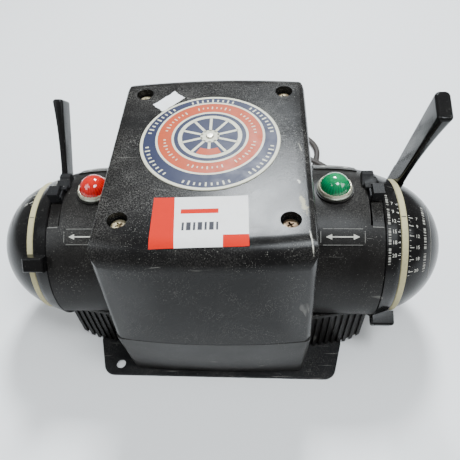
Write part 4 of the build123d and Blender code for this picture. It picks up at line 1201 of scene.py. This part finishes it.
@dataclass
class Dials:
    """Marks on one wing: on the ring, the dome, the index ring and the raised pads."""

    side: Side
    mark: float = 0.07 * MM
    dome_centre_x: float = 96.4 * MM
    dome_r: float = 43.6 * MM
    pad_x: float = 73.6 * MM

    ring_scale: ClassVar[Scale] = Scale(
        "ring", "dial", {15: 61.5, 18: 53.5, 20: 44.0, 12: 69.5, 9: 77.0, 7: 84.0}, 63.0,
        stroke=(105.8, 1.5, 0.38), figure=(102.9, 2.9), tick=(106.2, 0.8, 0.22),
        ticks=(41.0, 4.4, 11), dash=(100.0, 1.5), dashes=(38.0, 2.1, 26), word=7,
    )
    dome_scale: ClassVar[Scale] = Scale(
        "dome", "throttle", {9: 67.5, 12: 59.1, 15: 49.6, 18: 39.8, 20: 29.2, 7: 74.5}, 62.6,
        stroke=(113.7, 2.6, 0.34), figure=(117.4, 2.7), tick=(112.6, 1.0, 0.2),
        ticks=(26.0, 4.2, 13), dash=(122.6, 1.7), dashes=(26.0, 2.9, 24), word=8,
        rule=(127.0, 0.28, 50.0, 56.0),
    )

    def dome_radius(self, x: float) -> float:
        """Return the dome's radius at x."""
        return sqrt(max(0.0, self.dome_r**2 - (x - self.dome_centre_x) ** 2))

    def ring_radius(self, x: float) -> float:
        """Return the dial ring's radius at x."""
        return 46.1 * MM - (x - 98.3 * MM) * 3.2 / 8.5

    def build(self) -> None:
        """Make the marks of both scales, the index mark, the arrows and the painted highlights
        along the edges.
        """
        sign, word = self.side.value, self.side.word
        self.scale(self.ring_scale, Barrel(self.ring_radius))
        self.scale(self.dome_scale, Barrel(self.dome_radius))
        self.index_mark(sign, word)
        self.arrows(sign, word)
        self.rubbed_edges(sign, word)

    def scale(self, scale: Scale, barrel: Barrel) -> None:
        """Print one scale: its figures and ticks, then its faint dashes.

        Args:
            scale: the marks.
            barrel: the surface that they lie on.
        """
        sign, word = self.side.value, self.side.word
        body = f"{word}_{scale.body}"
        turn = scale.left_turn if self.side is Side.LEFT else 0.0

        def lay(shape: list, x: float, angle: float) -> None:
            """Lay a mark at x, in millimetres, and an angle in degrees."""
            barrel.lay(bm, shape, sign * x * MM, angle + turn)

        bm = bmesh.new()
        x, length, width = scale.stroke
        for volts, angle in scale.volts.items():
            lay(bar(bm, length * MM, width * MM, self.mark), x, angle)
            lay(glyph(bm, str(volts), scale.figure[1] * MM, self.mark), scale.figure[0], angle)
        x, length, width = scale.tick
        first, step, count = scale.ticks
        for i in range(count):
            lay(bar(bm, length * MM, width * MM, self.mark, 1), x, first + step * i)
        shown(bm, f"{word}_{scale.name}_scale", body, "paper", ["dial_white"])
        bm = bmesh.new()
        x, length = scale.dash
        first, step, count = scale.dashes
        for i in range(count):
            if i % scale.word != scale.word - 1:
                width = 0.5 + 0.5 * (i % 3)
                lay(bar(bm, length * MM, width * MM, self.mark, 1), x, first + step * i)
        if scale.rule:
            x, width, length, angle = scale.rule
            lay(bar(bm, width * MM, length * MM, self.mark, 60), x, angle)
        shown(bm, f"{word}_{scale.name}_row", body, "paper", ["faint_white"])

    def index_mark(self, sign: int, word: str) -> bpy.types.Object:
        """Make the index ring's dark mark.

        Args:
            sign: the side's sign of X.
            word: the side's prefix.

        Returns:
            The mark.
        """
        bm = bmesh.new()
        barrel = Barrel(lambda x: 42.15 * MM)
        barrel.lay(bm, bar(bm, 2.6 * MM, 0.5 * MM, self.mark), sign * 109.3 * MM, 74.4)
        return shown(bm, f"{word}_index_mark", "casing", "paper", ["label_ink"])

    def arrows(self, sign: int, word: str) -> bpy.types.Object:
        """Make the plain arrows on the two raised pads of the wing.

        Args:
            sign: the side's sign of X.
            word: the side's prefix.

        Returns:
            Both arrows, as one piece.
        """
        bm = bmesh.new()
        pad = self.wing_barrel(word)
        x = sign * self.pad_x
        head_length = 3.4 * MM
        for angle in (57.0, 123.0):
            pad.lay(bm, bar(bm, 13.0 * MM, 0.7 * MM, self.mark, 2, 12), x, angle)
            for end in (-1, 1):
                head = bar(bm, head_length, 3.2 * MM, self.mark, 8)
                for v in head:
                    reach = 0.5 + v.co.x / head_length
                    v.co.y *= 1 - reach
                    v.co.x *= end
                pad.lay(bm, head, x + end * 7.6 * MM, angle)
        return shown(bm, f"{word}_pad_arrows", "casing", "paper", ["dial_white"])

    def wing_barrel(self, word: str) -> Barrel:
        """Read the wing housing's own skin, for laying marks on it.

        Args:
            word: the side's prefix.

        Returns:
            The housing as a barrel.
        """
        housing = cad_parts[f"{word}_wing_housing"]
        skin = BVHTree.FromObject(housing, bpy.context.evaluated_depsgraph_get())
        return Barrel(lambda x: 48.6 * MM, skin)

    def rubbed_edges(self, sign: int, word: str) -> bpy.types.Object:
        """Make the pale lines along the pads' edges and at the foot of the key's step: painted
        highlights of these edges.

        Args:
            sign: the side's sign of X.
            word: the side's prefix.

        Returns:
            All the lines of the wing, as one piece.
        """
        bm = bmesh.new()
        wing = self.wing_barrel(word)
        for low, high in ((51.7, 62.3), (117.7, 128.3)):
            for angle in (low, high):
                edge = bar(bm, 22.0 * MM, 0.35 * MM, self.mark, 1, 20)
                wing.lay(bm, edge, sign * self.pad_x, angle)
            for x in (61.4, 85.8):
                side = bar(bm, 0.35 * MM, 6.4 * MM, self.mark, 6)
                wing.lay(bm, side, sign * x * MM, (low + high) / 2)
        for angle in (64.0, 116.0):
            wing.lay(bm, bar(bm, 6.4 * MM, 0.5 * MM, self.mark, 1), sign * 93.6 * MM, angle)
        return shown(bm, f"{word}_rubbed_edges", "casing", "paper", ["rubbed_edge"])


@dataclass
class Lead:
    """The two-core mains lead: its loose loop, its put-away coil and the tail to the plug.

    Its width and height are in metres, and its route is in millimetres.
    """

    width: float = 5.0 * MM
    height: float = 3.4 * MM
    exit_x: float = 40.0
    exit_y: float = 90.0
    exit_z: float = 12.0
    coil_centre: tuple[float, float] = (-8.0, 150.0)
    coil_radius: float = 28.5
    coil_wide: int = 4
    points_a_turn: int = 16
    floor_z: float = 1.9
    layers: int = 2
    core_arc: float = 1.12 * pi

    def route(self) -> list[Vector]:
        """Work out where the lead lies, from the casing to the plug.

        Returns:
            Its control points, in metres.
        """
        z = self.floor_z
        loose = [
            (self.exit_x, self.exit_y, self.exit_z), (39.0, 112.0, 8.5), (45.0, 131.0, 8.0),
            (66.0, 138.5, 12.8), (88.0, 121.0, 12.8), (106.0, 109.0, 5.5), (110.0, 91.0, z),
            (98.0, 77.5, z), (80.5, 79.5, z), (70.5, 95.0, z), (73.0, 119.0, z), (80.5, 140.0, z),
            (83.5, 161.0, z), (69.0, 181.0, z), (46.0, 193.0, z), (21.0, 191.5, z),
        ]
        cx, cy = self.coil_centre
        turns = []
        count = self.coil_wide * self.points_a_turn
        for layer in range(self.layers):
            level = z + layer * (self.height / MM + 0.1)
            for i in range(count):
                inwards = 0.5 - i / count if layer == 0 else i / count - 0.5
                r = self.coil_radius + inwards * (self.coil_wide - 1) * self.width / MM
                angle = pi / 2 + 2 * pi * i / self.points_a_turn
                turns.append((cx + r * cos(angle), cy + r * sin(angle), level))
        tail = [(-44.0, 152.0, z + 1.5), (-45.0, 134.0, z + 0.4), (-45.5, 116.0, 5.0)]
        return [Vector(p) * MM for p in loose + turns + tail]

    def centreline(self) -> list[Vector]:
        """Draw the route as one smooth line.

        Returns:
            Points read along it, in metres.
        """
        points = self.route()
        curve = bpy.data.curves.new("lead_line", "CURVE")
        curve.dimensions, curve.resolution_u = "3D", 6
        spline = curve.splines.new("NURBS")
        spline.points.add(len(points) - 1)
        for spot, point in zip(spline.points, points):
            spot.co = (*point, 1)
        spline.order_u = 3
        spline.use_endpoint_u = True
        mesh = outlined(curve)
        line = [v.co.copy() for v in mesh.vertices]
        bpy.data.meshes.remove(mesh)
        return line

    def section(self, steps: int = 8) -> list[tuple[float, float]]:
        """Draw the twin-core section: two round cores side by side, joined by a web.

        Args:
            steps: facets round each core.

        Returns:
            Its points, across and upwards from the middle.
        """
        r = self.height / 2
        c = self.width / 2 - r
        angles = [self.core_arc * (i / steps - 0.5) for i in range(steps + 1)]
        right = [(c + r * cos(a), r * sin(a)) for a in angles]
        return right + [(-x, -y) for x, y in right]

    def build(self) -> bpy.types.Object:
        """Returns:
            The lead.
        """
        line = self.centreline()
        profile = self.section()
        bm = bmesh.new()
        loops = []
        for i, spot in enumerate(line):
            ahead = line[min(i + 1, len(line) - 1)] - line[max(i - 1, 0)]
            side = ahead.cross(Vector((0, 0, 1))).normalized()
            up = side.cross(ahead).normalized()
            loops.append([bm.verts.new(spot + side * a + up * b) for a, b in profile])
        for near, far in zip(loops, loops[1:]):
            for k in range(len(profile)):
                j = (k + 1) % len(profile)
                bm.faces.new((near[k], near[j], far[j], far[k]))
        bm.faces.new(loops[0])
        bm.faces.new(loops[-1])
        lead = shown(
            bm, "mains_lead", "casing", "cord_rubber", ["lead_rubber"], "power_cord", "cord_coil",
            split=60,
        )
        return lead


@dataclass(frozen=True)
class Studio:
    """The plain floor, the soft lights and the camera.

    The camera stands at a place in millimetres, with its angles in radians; each lamp has its
    place and the side of its square in metres, and its power in watts.
    """

    camera_place: Colour = (25.10, -201.61, 316.10)
    yaw: float = 0.1273
    pitch: float = 0.9088
    roll: float = -0.0988
    lens: float = 38.61
    shift: tuple[float, float] = (0.029, 0.038)
    floor_colour: Colour = (0.88, 0.88, 0.88)
    light_colour: Colour = (0.90, 0.96, 1.0)
    aim: Colour = (0.0, 0.0, 0.06)
    glow: float = 0.24
    lamps: tuple[tuple[str, Colour, float, float], ...] = (
        ("key light", (0.05, 0.74, 1.05), 0.22, 24.0),
        ("fill light", (-0.95, -0.35, 1.05), 0.8, 11.0),
        ("side light", (1.05, -0.25, 0.95), 0.6, 7.0),
        ("top light", (0.27, -0.25, 1.05), 0.30, 8.0),
    )

    def camera(self) -> bpy.types.Object:
        """Place the camera and make it the scene's own.

        Returns:
            The camera.
        """
        data = bpy.data.cameras.new("camera")
        data.lens, data.sensor_width = self.lens, 36.0
        data.shift_x, data.shift_y = self.shift
        flat = cos(self.pitch)
        ahead = Vector((-sin(self.yaw) * flat, cos(self.yaw) * flat, -sin(self.pitch)))
        level = Vector((cos(self.yaw), sin(self.yaw), 0))
        above = level.cross(ahead)
        right = level * cos(self.roll) + above * sin(self.roll)
        up = above * cos(self.roll) - level * sin(self.roll)
        turn = Matrix((right, up, -ahead)).transposed().to_4x4()
        camera = linked("camera", data)
        camera.matrix_world = Matrix.Translation(Vector(self.camera_place) * MM) @ turn
        bpy.context.scene.camera = camera
        return camera

    def floor(self) -> None:
        """Lay the pale floor just under the object."""
        bm = bmesh.new()
        bmesh.ops.create_grid(bm, x_segments=1, y_segments=1, size=4.0)
        mesh = bpy.data.meshes.new("floor")
        bm.to_mesh(mesh)
        bm.free()
        floor = linked("floor", mesh)
        c = Canvas("floor")
        grain = c.window(c.noise(8.0, 3.0), 0.3, 0.8, 0.04)
        colour = c.blend(grain, self.floor_colour, tuple(v * 0.9 for v in self.floor_colour))
        mesh.materials.append(c.finish(Base_Color=colour, Roughness=0.75))

    def light(self, name: str, place: Colour, size: float, power: float) -> None:
        """Hang a soft square light that looks at the object.

        Args:
            name: the light's name.
            place: where it hangs, in metres.
            size: its side, in metres.
            power: its power, in watts.
        """
        data = bpy.data.lights.new(name, "AREA")
        data.size, data.energy, data.color = size, power, self.light_colour
        lamp = linked(name, data)
        lamp.location = place
        sight = Vector(self.aim) - Vector(place)
        lamp.rotation_euler = sight.to_track_quat("-Z", "Y").to_euler()

    def build(self) -> None:
        """Set up the whole studio."""
        self.camera()
        self.floor()
        for lamp in self.lamps:
            self.light(*lamp)
        world = bpy.data.worlds.new("studio")
        world.use_nodes = True
        background = world.node_tree.nodes["Background"]
        background.inputs["Color"].default_value = (1.0, 1.0, 1.0, 1)
        background.inputs["Strength"].default_value = self.glow
        bpy.context.scene.world = world


def main() -> None:
    """Build the studio and every sub-assembly, in order."""
    logging.basicConfig(level=logging.INFO, format="%(name)s: %(message)s")
    Studio().build()
    Lead().build()
    Casing().dress()
    Nameplate().build()
    Labels().build()
    for side in Side:
        Lamp(side).build()
        Dials(side).build()


if __name__ == "__main__":
    main()
